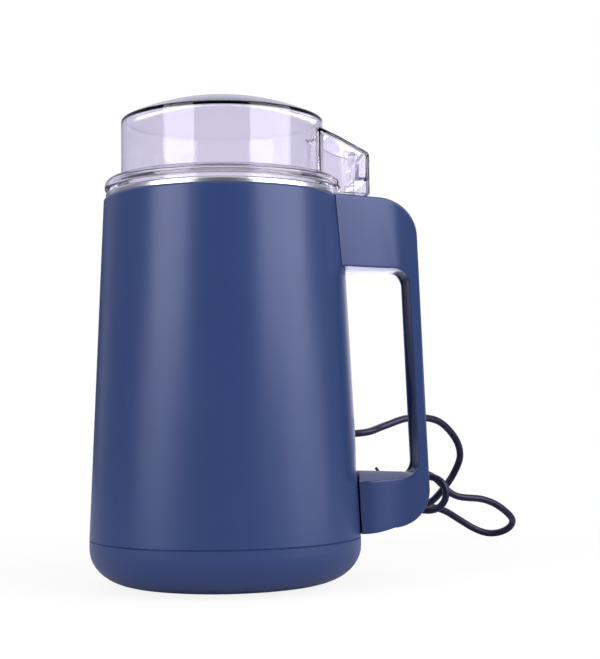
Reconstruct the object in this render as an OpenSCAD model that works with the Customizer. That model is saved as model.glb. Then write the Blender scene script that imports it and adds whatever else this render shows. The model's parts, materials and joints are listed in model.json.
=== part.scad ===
// Electric coffee grinder: a tapered jug-shaped body with a side handle, a clear domed lid whose
// tab works a switch in the handle, a steel grinding bowl with a two-wing blade, and its motor.
// Millimetres. +Z is up, the handle points along +X and the origin is on the body's axis at table level.

/* [Body] */
// Diameter of the body at the seam above the base
seam_d = 110; // [106:0.5:116]
// Diameter of the body at its top edge
body_top_d = 97.6; // [96:0.2:102]
// Height of the body from the seam to its top edge
body_h = 138; // [132:1:150]
// Wall of the body shell
body_wall = 2.5; // [2:0.1:3]
// Thickness of the turned-in lip at the body's top
lip_h = 2.5; // [1.5:0.1:4]
// Rounding of the body's top edge
top_round = 1.3; // [0.6:0.1:2]
// Half the groove along the seam
seam_groove = 0.4; // [0.2:0.1:0.8]

/* [Base] */
// Height of the base cover from its underside to the seam
base_h = 18; // [17:0.5:24]
// Width of the rounded edge under the base
base_round_w = 18; // [14:0.5:20]
// Height of the rounded edge under the base
base_round_h = 14.5; // [12:0.5:16]
// Wall of the base cover
base_wall = 2.5; // [2:0.1:3]
// Height of the collar that locates the body on the base
collar_h = 5; // [3:0.5:7]
// Clearance of the collar in the body
collar_fit = 0.2; // [0.1:0.05:0.4]
// Number of air slots in the base
vent_count = 16; // [8:1:20]
// Width of an air slot
vent_w = 2.4; // [1.5:0.1:3]
// Length of an air slot
vent_l = 9; // [5:0.5:10]
// How far the rubber ring stands below the base
foot_h = 1; // [0.8:0.1:1.4]
// Width of the rubber ring
foot_w = 8; // [5:0.5:9]
// Depth of the groove that the rubber ring is glued in
foot_recess = 1; // [0.6:0.1:1.4]
// Middle diameter of the rubber ring
foot_ring_d = 48; // [45:1:50]

/* [Lid] */
// How far the lid's wall stands in from the body's top edge
lid_inset = 7.1; // [6.8:0.1:9]
// Wall of the lid
lid_wall = 2.2; // [1.6:0.1:3]
// Height of the lid's wall above its flange
lid_h = 23.8; // [20:0.2:32]
// Rise of the dome above the lid's rim
dome_h = 10.3; // [6:0.1:14]
// How far the lid's flange stands past the steel band
flange_lip = 0.4; // [0:0.1:0.5]
// Height of the lid's flange
flange_h = 4.4; // [3.4:0.1:6]
// Depth of the lid's skirt inside the bowl
skirt_h = 6; // [3:0.5:8]
// Radial clearance of the skirt in the bowl
skirt_fit = 0.5; // [0.3:0.1:0.8]
// Gap under the flange and the tab that the press of the lid uses
press_gap = 1.2; // [1.1:0.05:1.5]
// How far the lid's tab reaches past the body's top edge
tab_reach = 10.5; // [10.2:0.1:12]
// Width of the lid's tab at the body
tab_w = 34; // [32:0.5:36]
// Width of the lid's tab at its outer edge
tab_end_w = 28; // [26:0.5:32]
// Wall of the lid's tab
tab_wall = 2; // [1.4:0.1:2.4]
// Height of the tab's roof below the lid's rim, at the lid's wall
tab_roof_drop = 5.2; // [4:0.1:8]
// Fall of the tab's roof from the lid's wall to its outer edge
tab_roof_fall = 8.4; // [6:0.2:12]

/* [Bowl] */
// Depth of the bowl below its rim
bowl_depth = 51.4; // [47:0.2:54]
// Wall of the bowl
bowl_wall = 0.8; // [0.6:0.1:1.2]
// Height of the steel band that shows above the body
band_h = 2.2; // [1.6:0.1:3]
// How far the steel band stands in from the body's top edge
band_inset = 0.8; // [0.4:0.1:1.6]
// Diameter of the bowl's flat floor
bowl_floor_d = 46; // [40:1:50]
// Radius between the bowl's floor and its wall
bowl_corner = 14; // [10:0.5:16]
// Height of the bowl's straight upper wall
bowl_straight = 12; // [10:0.5:16]

/* [Handle] */
// How far the handle stands out past the body at the seam
handle_reach = 28; // [26:0.5:32]
// How far the handle stands out past the body at its top edge
handle_reach_top = 30.6; // [28:0.2:34]
// Width of the grip
grip_w = 19; // [17:0.5:22]
// Thickness of the grip's outer shell
grip_t = 3.4; // [3.2:0.1:4.4]
// Wall of the handle's shell
handle_wall = 2; // [1.6:0.1:2.1]
// Height of the upper arm
upper_arm_h = 29.2; // [28:0.2:33]
// Height of the lower arm's top edge above the seam
lower_arm_h = 23; // [20:0.5:28]
// Height of the lower arm's underside above the seam, at the grip
lower_arm_lift = 2.9; // [2.4:0.1:4]
// Fall of the lower arm's underside from the grip to the body
lower_arm_fall = 2; // [1:0.1:2.2]
// Radius of the handle's upper corner
top_corner = 16; // [13:0.1:18]
// Radius of the handle's lower corner
low_corner = 15; // [9:0.5:17]
// Radius of the finger gap's corners
gap_corner = 6.5; // [5:0.1:8]
// Sideways flare of the upper arm towards the body
upper_flare = 0.53; // [0.5:0.01:0.6]
// How much of that flare is lost by the upper arm's underside
upper_draft = 0.07; // [0:0.01:0.1]
// Sideways flare of the lower arm towards the body
lower_flare = 0.22; // [0:0.01:0.4]
// Gap between the handle and the body
handle_fit = 0.15; // [0.1:0.05:0.3]

/* [Switch] */
// Distance from the body's top edge to the push rod
plunger_out = 5; // [4.8:0.1:5.4]
// Diameter of the push rod's head
plunger_d = 5; // [4.6:0.1:5.4]
// How far the push rod stands above the handle
plunger_proud = 2.2; // [1.8:0.1:2.6]
// Travel of the push rod
press_travel = 1; // [0.6:0.05:1]
// Length of the push rod's spring
spring_h = 6; // [5:0.2:7]
// Clearance of sliding and turning fits
run_fit = 0.05; // [0.02:0.01:0.08]
// Clearance of pressed and seated fits
seat_fit = 0.02; // [0.01:0.01:0.04]

/* [Motor] */
// Diameter of the motor's shaft
shaft_d = 8; // [6:0.2:9]
// Length of the posts that hold the motor under the bowl's carrier
post_l = 10; // [6:0.5:16]
// Diameter of the stator
stator_d = 66; // [64:0.5:72]
// Air gap between the stator and the armature
air_gap = 0.6; // [0.4:0.1:0.8]
// Number of slots in the armature
slot_count = 12; // [8:1:14]
// Diameter of the commutator
commutator_d = 20; // [18:0.2:21]
// Height of the commutator
commutator_h = 10; // [9:0.5:11]
// Diameter of the fan
fan_d = 50; // [40:1:52]
// Height of the fan
fan_h = 8; // [6:0.5:9]
// Number of fan blades
fan_count = 9; // [5:1:11]
// Thickness of the motor's bracket plates
bracket_t = 3; // [2:0.1:3.5]
// Outer diameter of a shaft bush
bush_d = 16; // [13:0.5:17]
// Thickness of a rubber damper
damper_h = 2; // [1.5:0.1:3]

/* [Blade] */
// Radius of the blade at its tips
blade_r = 30; // [24:0.5:31]
// Thickness of the blade
blade_t = 1.6; // [1.2:0.1:2]
// Upward bend of the blade's tips, in degrees
blade_bend = 30; // [10:1:40]

/* [Cord] */
// Diameter of the power cord
cord_d = 3.6; // [3.2:0.1:3.8]
// Height of the cord's exit above the table
exit_z = 57; // [54:0.5:62]
// Length of the tapered strain relief outside the body
relief_l = 22; // [20:0.5:24]
// Length of the plug's grip
plug_l = 32; // [28:0.5:38]
// Width of the plug's grip
plug_w = 23; // [20:0.5:25]
// Height of the plug's grip
plug_h = 12; // [11:0.5:14]
// Diameter of a plug pin
pin_d = 4; // [3.6:0.1:4.8]
// Distance between the plug pins
pin_pitch = 12.7; // [11:0.1:14]
// Length of a plug pin outside the plug
pin_l = 16; // [12:0.5:19]

/* [Hidden] */
$fn = 72;
overcut = 1;
navy = [0.12, 0.17, 0.34];
clear = [0.80, 0.78, 0.86, 0.45];
steel = [0.80, 0.80, 0.82];
black = [0.10, 0.10, 0.13];
copper = [0.72, 0.42, 0.22];
brass = [0.78, 0.63, 0.30];
grey = [0.45, 0.46, 0.48];
white = [0.90, 0.90, 0.88];
rubber = [0.14, 0.14, 0.15];

// Levels and radii of the body
seam_r = seam_d / 2;
top_r = body_top_d / 2;
base_z = foot_h;
seam_z = base_z + base_h;
body_top_z = seam_z + body_h;
taper = (seam_r - top_r) / body_h;
floor_z = base_z + base_wall;
function body_r(z) = seam_r - taper * (z - seam_z);
function inner_r(z) = body_r(z) - body_wall;

// Screws share one pan-head size
screw_r = 1.5;
head_r = 2.9;
head_h = 2.2;
base_angles = [45, 135, 225, 315];
base_boss_r = 4.9;
base_screw_r = seam_r - base_round_w - 4;
pillar_top_z = seam_z + collar_h;
base_seat_z = pillar_top_z - 8;
base_boss_h = 12;
base_rib_t = 2.4;
vent_r = foot_ring_d / 2 - foot_w / 2 - vent_l - 2;

// Levels and radii of the lid and the bowl
band_top_z = body_top_z + band_h;
flange_z = band_top_z + press_gap;
flange_top_z = flange_z + flange_h;
rim_z = flange_top_z + lid_h;
apex_z = rim_z + dome_h;
lid_r = top_r - lid_inset;
rim_r = top_r - band_inset;
flange_r = rim_r + flange_lip;
tab_x = top_r + tab_reach;
flange_round = 1.5;
dome_r = (lid_r * lid_r + dome_h * dome_h) / (2 * dome_h);
rim_round = 2.8;
rim_drop = 4.6;
bowl_r = lid_r + skirt_fit;
bowl_floor_z = band_top_z - bowl_depth;
bowl_fit = 0.4;
seal_hole_r = shaft_d / 2 + 3;
seal_flange_r = seal_hole_r + 2.5;
seal_t = 1.5;

// Carrier under the bowl
carrier_t = 4;
carrier_ring_h = 4;
carrier_top_z = bowl_floor_z - bowl_wall - carrier_ring_h;
carrier_z = carrier_top_z - carrier_t;
carrier_fit = 0.3;
carrier_r = inner_r(carrier_top_z) - carrier_fit;
carrier_angles = [45, 135, 225, 315];
carrier_boss_r = 3.9;
carrier_screw_r = inner_r(carrier_top_z) - 3.5;
carrier_boss_h = 18;

// Motor, from the base up
shaft_r = shaft_d / 2;
stator_r = stator_d / 2;
fan_z = floor_z + 2.5;
low_plate_z = fan_z + fan_h + 2.5;
low_plate_top_z = low_plate_z + bracket_t;
bush_h = 8;
bush_r = bush_d / 2;
housing_r = bush_r + 3;
commutator_z = low_plate_z + bush_h + 1.5;
brush_z = commutator_z + commutator_h / 2;
turn_h = 5;
stack_z = commutator_z + commutator_h + turn_h + 1;
up_plate_top_z = carrier_z - post_l - damper_h;
up_plate_z = up_plate_top_z - bracket_t;
stack_top_z = up_plate_z - turn_h - 7;
stack_h = stack_top_z - stack_z;
damper_r = 4.5;
damper_x = 0.79 * stator_r;
post_z = up_plate_top_z + damper_h;
stator_ring_r = 0.85 * stator_r;
bore_r = 0.533 * stator_r;
armature_r = bore_r - air_gap;
shoe_r = 0.62 * stator_r;
neck_w = 0.42 * stator_r;
coil_gap = 0.4;
bolt_y = (stator_r + stator_ring_r) / 2;
bolt_r = 2;
leg_r = 4;
commutator_r = commutator_d / 2;

// Brushes slide in square tubes on the lower bracket
brush_w = 5;
brush_h = 6;
brush_l = 10;
tube_wall = 1.4;
tube_start_x = commutator_r + 2;
tube_end_x = commutator_r + 16;
brush_spring_l = tube_end_x - commutator_r - brush_l - tube_wall;

// Blade on the shaft
collar_z = bowl_floor_z + seal_t + 0.3;
blade_z = collar_z + 2.6;
stud_r = shaft_r - 1;
nut_h = 4;
stud_top_z = blade_z + blade_t + nut_h;

// Handle outline
handle_top_z = body_top_z;
arm_under_z = handle_top_z - upper_arm_h;
low_top_z = seam_z + lower_arm_h;
low_z = seam_z + lower_arm_lift;
out_low_x = seam_r + handle_reach;
out_top_x = top_r + handle_reach_top;
grip_lean = out_low_x - out_top_x;
top_c = [out_top_x - top_corner, handle_top_z - top_corner];
low_c = [out_low_x - low_corner, low_z + low_corner];
function grip_x(z) = out_top_x + grip_lean * (top_c[1] - z) / (top_c[1] - low_c[1]);
gap_top_c = [grip_x(arm_under_z - gap_corner) - grip_t - gap_corner, arm_under_z - gap_corner];
gap_low_c = [grip_x(low_top_z + gap_corner) - grip_t - gap_corner, low_top_z + gap_corner];
root_x = top_r - 6;
flare_x = gap_top_c[0] - 1.6;
edge_round = 1.2;
tongue = grip_t - handle_wall - 0.2;
channel_round = 0.5;
cover_crown_top = 0.8;
cover_crown_grip = 2.3;
cover_crown_low = 4;

// Switch in the upper arm
plunger_x = top_r + plunger_out;
plunger_r = plunger_d / 2;
plunger_top_z = handle_top_z + plunger_proud;
plunger_collar_top_z = handle_top_z - handle_wall - 0.15;
plunger_collar_h = 1.6;
plunger_collar_r = plunger_r + 0.9;
stem_r = 2;
spring_top_z = plunger_collar_top_z - plunger_collar_h;
spring_z = spring_top_z - spring_h;
holder_t = 1.8;
switch_top_z = spring_z - holder_t;
switch_l = 13;
switch_w = 6;
switch_h = 7;
switch_x = plunger_x - 3;
button_r = 1.2;
button_proud = 1;
stem_z = switch_top_z + button_proud;
handle_screw_y = 9.5;
handle_boss_r = 3.4;
handle_boss_x = top_r + 10.2;
handle_screw_z = arm_under_z + 6;
low_screw_z = low_z + 9;
pad_r = 4.5;
wire_hole_z = handle_screw_z + 1;

// Cord: where it leaves the body, the free route chosen by hand, and the coil behind the body
cord_r = cord_d / 2;
exit_y = body_r(exit_z);
relief_end_y = exit_y + 2 + relief_l;
gland_hole_r = 5;
cord_route = [
    [0, 88, 57], [4, 98, 57], [14, 104, 57], [30, 105, 57], [71, 103.5, 58], [84.5, 110, 61],
    [99, 116.5, 65], [115.5, 125.5, 63.5], [126.5, 133.5, 54.5], [130, 137, 45], [128, 143.5, 35.5],
    [124, 144, 29.5], [120, 143.5, 25], [115.5, 143, 21], [109.5, 142.5, 19.5], [103.5, 141, 22],
    [101, 138, 27], [103, 134, 32], [107.5, 131, 34], [113.5, 129.5, 34.5], [118, 128, 32],
    [120, 127, 27.5], [119, 127.5, 22], [115, 130, 18], [109, 133, 17.5], [105.5, 134.5, 18.5],
    [99, 138, 21], [96.5, 140.5, 26.5], [99, 141.5, 32.5], [106, 139.5, 36.5], [111.5, 137, 36],
    [116.5, 136.5, 33.5], [120.5, 135.5, 29.5], [123.5, 136, 26.5], [128, 137, 24], [134, 138, 23],
    [142, 140.5, 22], [150, 143.5, 19], [156.5, 146, 14.5], [161.5, 152.5, 9.5], [160.5, 157.5, 5],
    [155.5, 160.5, 2.5], [149, 161, 2.5], [141.5, 161, 5.5], [132.5, 159, 11], [123, 155, 16],
    [104, 148, 20], [88, 141, 18], [70, 132, 14], [50, 124, 8], [28, 120, 4]
];
coil_x = -16;
coil_y = 95;
coil_r = 23;
coil_gap_r = 0.6;
coil_layer_turns = 2;
coil_tail = 14;
tie_t = 0.7;
tie_w = 6;
tie_fit = 0.2;
coil_z = cord_r + tie_t + tie_fit;
coil_step = cord_d + coil_gap_r;
coil_total = 360 * (2 * coil_layer_turns + 0.5);
coil_start_angle = 90;

// Small helpers
function unit(v) = v / norm(v);
function mix(a, b, s) = a + (b - a) * s;
function arc(c, r, a0, a1, n) =
    [for (i = [0:n]) let (a = a0 + (a1 - a0) * i / n) c + r * [cos(a), sin(a)]];
function turned(v, a) = [v[0] * cos(a) - v[1] * sin(a), v[0] * sin(a) + v[1] * cos(a)];
function smooth(s) = s * s * (3 - 2 * s);

// Closed skin over sections that all have the same number of points, ends closed by the cap's faces
module skin(sections, cap) {
    n = len(sections[0]);
    m = len(sections);
    sides = [for (i = [0:m - 2], k = [0:n - 1])
        let (a = i * n + k, b = i * n + (k + 1) % n)
        each [[a, a + n, b + n], [a, b + n, b]]];
    start = cap;
    end = [for (f = cap) [for (k = [len(f) - 1:-1:0]) f[k] + (m - 1) * n]];
    polyhedron([for (s = sections) each s], concat(sides, start, end), convexity = 8);
}

// Round tube of a given number of sides along a list of points
function tangent(p, i) = unit(p[min(i + 1, len(p) - 1)] - p[max(i - 1, 0)]);
function square_to(v, t) = unit(v - (v * t) * t);
function normals(p, up) =
    [for (i = 0, v = square_to(up, tangent(p, 0)); i < len(p); i = i + 1,
        v = square_to(v, tangent(p, min(i, len(p) - 1)))) v];
function ring(c, t, v, r, sides) =
    [for (k = [0:sides - 1]) let (a = 360 * (k + 0.5) / sides) c + r * (cos(a) * v + sin(a) * cross(t, v))];
module tube(p, r, sides, up = [0, 0, 1]) {
    v = normals(p, up);
    skin([for (i = [0:len(p) - 1]) ring(p[i], tangent(p, i), v[i], r, sides)],
         [[for (k = [0:sides - 1]) k]]);
}

// Smooth curve through points, with a given number of steps between each two
function through(a, b, c, d, s) =
    0.5 * (2 * b + (c - a) * s + (2 * a - 5 * b + 4 * c - d) * s * s + (3 * b - a - 3 * c + d) * s * s * s);
function curve(p, steps) = let (m = len(p) - 1) concat(
    [for (i = [0:m - 1], k = [0:steps - 1])
        through(p[max(i - 1, 0)], p[i], p[i + 1], p[min(i + 2, m)], k / steps)],
    [p[m]]);
function length_of(p) = [for (i = 0, s = 0; i < len(p); i = i + 1,
    s = i < len(p) ? s + norm(p[i] - p[i - 1]) : s) s][len(p) - 1];

// Compression spring along +Z from z = 0
module helix(r, wire, turns, h) {
    steps = turns * 8;
    tube([for (i = [0:steps]) [r * cos(45 * i), r * sin(45 * i), wire + (h - 2 * wire) * i / steps]],
         wire, 6);
}

// Pan-head screw along +Z, its seat at z = 0
module screw(shank_l, shank_r = screw_r) {
    translate([0, 0, -head_h]) cylinder(r = head_r, h = head_h);
    cylinder(r = shank_r, h = shank_l);
}

module at_circle(angles, r, z) {
    for (a = angles) rotate(a) translate([r, 0, z]) children();
}

// Solid of the body's outer surface, grown by a distance and run on past both ends
module body_cone(grow) {
    run = 20;
    translate([0, 0, seam_z - run])
        cylinder(r1 = body_r(seam_z - run) + grow, r2 = body_r(body_top_z + run) + grow,
            h = body_h + 2 * run);
}

module body_shell() {
    lip_r = bowl_r + bowl_wall + bowl_fit;
    color(navy) difference() {
        union() {
            rotate_extrude() polygon(concat(
                [[inner_r(seam_z), seam_z], [seam_r - seam_groove, seam_z],
                 [body_r(seam_z + seam_groove), seam_z + seam_groove]],
                arc([body_r(body_top_z - top_round) - top_round, body_top_z - top_round], top_round, 0,
                    90, 6),
                [[lip_r, body_top_z], [lip_r, body_top_z - lip_h],
                 [inner_r(body_top_z - lip_h), body_top_z - lip_h]]));
            at_circle(base_angles, base_screw_r, pillar_top_z + seat_fit)
                cylinder(r = base_boss_r, h = base_boss_h);
            at_circle(base_angles, base_screw_r, pillar_top_z + seat_fit) translate([0, -base_rib_t / 2, 0])
                cube([inner_r(pillar_top_z + base_boss_h) + body_wall / 3 - base_screw_r, base_rib_t,
                    base_boss_h]);
            at_circle(carrier_angles, carrier_screw_r, carrier_top_z)
                cylinder(r = carrier_boss_r, h = carrier_boss_h);
            intersection() {
                handle_screw_places(pad_seat_x()) cylinder(r = pad_r, h = 4 * body_wall);
                body_cone(-body_wall / 2);
            }
        }
        at_circle(base_angles, base_screw_r, pillar_top_z - overcut)
            cylinder(r = screw_r + seat_fit, h = base_boss_h);
        at_circle(carrier_angles, carrier_screw_r, carrier_top_z - overcut)
            cylinder(r = screw_r + seat_fit, h = carrier_boss_h - 3);
        handle_screw_places(0) cylinder(r = screw_r + 0.2, h = seam_r + overcut);
        translate([0, 0, wire_hole_z]) rotate([0, 90, 0]) cylinder(r = 3.2, h = seam_r + overcut);
        translate([0, 0, exit_z]) rotate([-90, 0, 0]) cylinder(r = gland_hole_r, h = seam_r + overcut);
    }
}

// Screws that hold the handle, from inside the body: two in the upper arm, one in the lower
function pad_seat_x() = sqrt(pow(inner_r(handle_screw_z), 2) - pow(handle_screw_y + pad_r, 2)) - 0.6;
function low_pad_seat_x() = sqrt(pow(inner_r(low_screw_z), 2) - pow(pad_r, 2)) - 0.6;
module handle_screw_places(x) {
    low_shift = low_pad_seat_x() - pad_seat_x();
    for (side = [-1, 1]) translate([x, side * handle_screw_y, handle_screw_z]) rotate([0, 90, 0]) children();
    translate([x + low_shift, 0, low_screw_z]) rotate([0, 90, 0]) children();
}

module handle_screws() {
    color(steel) handle_screw_places(pad_seat_x()) screw(handle_boss_x - pad_seat_x() - 3);
}

// Outline of the base cover, set in by a distance
function base_outline(inset) = concat(
    [[0, base_z + inset]],
    [for (a = [0:7.5:90]) [seam_r - base_round_w + (base_round_w - inset) * sin(a),
        base_z + base_round_h - (base_round_h - inset) * cos(a)]],
    [[seam_r - inset, seam_z - (inset > 0 ? 0 : seam_groove)]]);

module base_cover() {
    collar_r = inner_r(pillar_top_z) - collar_fit;
    color(navy) difference() {
        union() {
            difference() {
                rotate_extrude() polygon(concat(base_outline(0),
                    [[seam_r - seam_groove, seam_z], [collar_r, seam_z], [collar_r, pillar_top_z],
                    [0, pillar_top_z]]));
                rotate_extrude() polygon(concat(base_outline(base_wall),
                    [[collar_r - base_wall, seam_z], [collar_r - base_wall, pillar_top_z + overcut],
                     [0, pillar_top_z + overcut]]));
            }
            intersection() {
                at_circle(base_angles, base_screw_r, 0) cylinder(r = base_boss_r, h = pillar_top_z);
                rotate_extrude() polygon(concat(base_outline(0.5), [[collar_r, seam_z],
                    [collar_r, pillar_top_z], [0, pillar_top_z]]));
            }
        }
        at_circle(base_angles, base_screw_r, -overcut) cylinder(r = head_r + 0.6, h = base_seat_z + overcut);
        at_circle(base_angles, base_screw_r, 0) cylinder(r = screw_r + 0.2, h = pillar_top_z + overcut);
        for (k = [0:vent_count - 1]) rotate(360 * k / vent_count) translate([vent_r, -vent_w / 2, 0])
            cube([vent_l, vent_w, base_z + base_wall + overcut]);
        foot_band(base_z - overcut, base_z + foot_recess, seat_fit);
    }
}

// Ring between two heights, wider by a fit on both sides
module foot_band(z0, z1, fit) {
    in_r = foot_ring_d / 2 - foot_w / 2 - fit;
    out_r = foot_ring_d / 2 + foot_w / 2 + fit;
    rotate_extrude() polygon([[in_r, z0], [out_r, z0], [out_r, z1], [in_r, z1]]);
}

module foot_ring() {
    color(rubber) foot_band(0, base_z + foot_recess, 0);
}

module base_screws() {
    color(steel) at_circle(base_angles, base_screw_r, base_seat_z) screw(pillar_top_z - base_seat_z + 9);
}

// Clear lid: wall, dome, flange and skirt turned in one, with the hollow tab that reaches over the handle
module lid() {
    inner = lid_r - lid_wall;
    start_r = lid_r - rim_round;
    centre_z = apex_z - dome_r;
    start_z = centre_z + sqrt(dome_r * dome_r - start_r * start_r);
    corner_r = inner - rim_round;
    under_r = dome_r - lid_wall;
    corner_z = centre_z + sqrt(under_r * under_r - corner_r * corner_r);
    color(clear) union() {
        rotate_extrude() polygon(concat(
            [for (i = [0:16]) let (a = 90 - i / 16 * asin(start_r / dome_r))
                [dome_r * cos(a), centre_z + dome_r * sin(a)]],
            [for (a = [15:15:90]) [start_r + rim_round * sin(a), start_z - rim_drop * (1 - cos(a))]],
            [[lid_r, flange_top_z]],
            arc([flange_r - flange_round, flange_top_z - flange_round], flange_round, 90, 0, 6),
            arc([flange_r - 1, flange_z + 1], 1, 0, -90, 4),
            [[lid_r, flange_z], [lid_r, flange_z - skirt_h], [inner, flange_z - skirt_h]],
            [for (a = [90:-15:0]) [corner_r + rim_round * sin(a), corner_z - rim_drop * (1 - cos(a))]],
            [for (i = [15:-1:0]) let (a = 90 - i / 16 * asin(corner_r / under_r))
                [under_r * cos(a), centre_z + under_r * sin(a)]]));
        difference() {
            tab_block(0);
            tab_block(tab_wall);
            translate([0, 0, flange_z - 20]) cylinder(r = flange_r - 0.2, h = 20);
            cylinder(r = lid_r - lid_wall / 2, h = apex_z);
        }
        intersection() {
            tab_block(tab_wall / 2);
            union() {
                translate([plunger_x - presser_l / 2, -rib_t / 2, plunger_top_z])
                    cube([presser_l, rib_t, lid_h * 2]);
                translate([plunger_x - rib_t / 2, -presser_w / 2, plunger_top_z])
                    cube([rib_t, presser_w, lid_h * 2]);
                translate([tab_x - ledge_l, -ledge_w / 2, flange_top_z - rib_t]) {
                    cube([ledge_l, ledge_w, rib_t]);
                    cube([rib_t, ledge_w, ledge_h]);
                }
            }
        }
    }
}
presser_l = 6.4;
presser_w = 9;
rib_t = 1.6;
ledge_l = 5.4;
ledge_w = 24;
ledge_h = 7;

// Outside of the lid's tab, set in by a distance and open below when it is set in
module tab_block(inset) {
    roof_z = rim_z - tab_roof_drop;
    bottom_z = handle_top_z + press_gap - (inset > 0 ? overcut : 0);
    corner = 1.6;
    back_x = lid_r - 4;
    edge_x = tab_x - inset;
    fall = tab_roof_fall / (tab_x - lid_r);
    edge_z = roof_z - fall * (edge_x - corner - lid_r) - inset * 1.15;
    side_c = [edge_x - corner, tab_end_w / 2 - inset - corner];
    near = arc(side_c, corner, 75, 0, 5);
    intersection() {
        rotate([90, 0, 0]) translate([0, 0, -tab_w / 2]) linear_extrude(tab_w) polygon(concat(
            [[back_x, bottom_z], [back_x, roof_z + 4 * fall - inset * 1.15]],
            [for (a = [75:-15:0]) [edge_x - corner + corner * cos(a), edge_z - corner + corner * sin(a)]],
            [[edge_x, bottom_z]]));
        translate([0, 0, bottom_z - overcut]) linear_extrude(2 * lid_h) polygon(concat(
            [[back_x, inset - tab_w / 2], [back_x, tab_w / 2 - inset],
            [flange_r - 2, tab_w / 2 - inset]], near,
            [for (i = [len(near) - 1:-1:0]) [near[i][0], -near[i][1]]],
            [[flange_r - 2, inset - tab_w / 2]]));
    }
}

// Drawn steel bowl, its rim rolled outwards and down on to the body
module steel_bowl() {
    floor_r = bowl_floor_d / 2;
    corner_c = [floor_r, bowl_floor_z + bowl_corner];
    wall_z = band_top_z - bowl_straight;
    lip = 1;
    color(steel) rotate_extrude() polygon(concat(
        [[seal_hole_r, bowl_floor_z - bowl_wall], [seal_hole_r, bowl_floor_z]],
        arc(corner_c, bowl_corner, -90, -12, 8),
        [[bowl_r, wall_z]],
        arc([bowl_r + lip, band_top_z - lip], lip, 180, 90, 4),
        arc([rim_r - lip, band_top_z - lip], lip, 90, 0, 5),
        [[rim_r, body_top_z], [rim_r - bowl_wall, body_top_z]],
        arc([rim_r - lip, band_top_z - lip], lip - bowl_wall, 0, 90, 2),
        arc([bowl_r + lip, band_top_z - lip], lip - bowl_wall, 90, 180, 2),
        [[bowl_r + bowl_wall, wall_z]],
        arc(corner_c, bowl_corner + bowl_wall, -12, -90, 8)));
}

module shaft_seal() {
    low_z = bowl_floor_z - bowl_wall - 2;
    color(rubber) rotate_extrude() polygon([
        [shaft_r + run_fit, low_z], [seal_hole_r - seat_fit, low_z], [seal_hole_r - seat_fit, bowl_floor_z],
        [seal_flange_r, bowl_floor_z], [seal_flange_r - 0.8, bowl_floor_z + seal_t],
        [shaft_r + run_fit, bowl_floor_z + seal_t]]);
}

// Plastic carrier: holds the bowl's floor up and the motor below it, on bosses of the body
module carrier_places() {
    for (side = [-1, 1]) translate([side * damper_x, 0, 0]) children();
}
module bowl_carrier() {
    ring_r = bowl_floor_d / 2;
    color(grey) difference() {
        union() {
            translate([0, 0, carrier_z]) cylinder(r = carrier_r, h = carrier_t);
            translate([0, 0, carrier_z]) cylinder(r = ring_r, h = carrier_t + carrier_ring_h);
            carrier_places() translate([0, 0, post_z])
                cylinder(r = damper_r, h = carrier_z - post_z + overcut);
        }
        translate([0, 0, carrier_z - overcut]) cylinder(r = ring_r - 3, h = 2 * carrier_t + carrier_ring_h);
        carrier_places() translate([0, 0, post_z - overcut]) cylinder(r = screw_r + seat_fit, h = 8);
        at_circle(carrier_angles, carrier_screw_r, carrier_z - overcut)
            cylinder(r = screw_r + 0.2, h = carrier_t + 2 * overcut);
        at_circle([-22, 0, 22], carrier_r - 1, carrier_z - overcut)
            cylinder(r = 8, h = carrier_t + 2 * overcut);
        at_circle([90, 180, 270], (carrier_r + ring_r) / 2, carrier_z - overcut)
            cylinder(r = 8, h = carrier_t + 2 * overcut);
    }
}

module carrier_screws() {
    color(steel) at_circle(carrier_angles, carrier_screw_r, carrier_z) screw(carrier_t + 10);
}

// Handle: rows of outer points, and of parting points where the inner cover meets the shell
function soft(d) = (d + sqrt(d * d + 4)) / 2;
function flare_at(z) = z > (arm_under_z + low_top_z) / 2
    ? upper_flare - upper_draft * (handle_top_z - z) / upper_arm_h : lower_flare;
function half_w(p) =
    grip_w / 2 + soft((flare_x - p[0]) * flare_at(p[1])) - soft((flare_x - out_low_x) * lower_flare);
low_end_z = low_z - lower_arm_fall;
low_root_out = [body_r(low_end_z) + handle_fit, low_end_z];
low_root_in = [body_r(low_top_z - 1) + handle_fit, low_top_z - 1];
handle_rows = concat(
    [for (i = [0:6]) let (s = i / 7) [
        [mix(root_x, top_c[0], s), handle_top_z],
        [mix(root_x, gap_top_c[0], s), arm_under_z], cover_crown_top]],
    [for (i = [0:8]) let (a = 90 - 90 * i / 8) [
        top_c + top_corner * [cos(a), sin(a)], gap_top_c + gap_corner * [cos(a), sin(a)],
        mix(cover_crown_top, cover_crown_grip, i / 8)]],
    [for (i = [1:3]) let (s = i / 4) [
        mix(top_c + [top_corner, 0], low_c + [low_corner, 0], s),
        mix(gap_top_c + [gap_corner, 0], gap_low_c + [gap_corner, 0], s), cover_crown_grip]],
    [for (i = [0:8]) let (a = -90 * i / 8) [
        low_c + low_corner * [cos(a), sin(a)], gap_low_c + gap_corner * [cos(a), sin(a)], cover_crown_grip]],
    [for (i = [1:6]) let (s = i / 6) [
        [mix(low_c[0], low_root_out[0], s), mix(low_z, low_end_z, s * (2 - s))],
        [mix(gap_low_c[0], low_root_in[0], s), mix(low_top_z, low_root_in[1], s)],
        mix(cover_crown_grip, cover_crown_low, s)]]);

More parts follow.
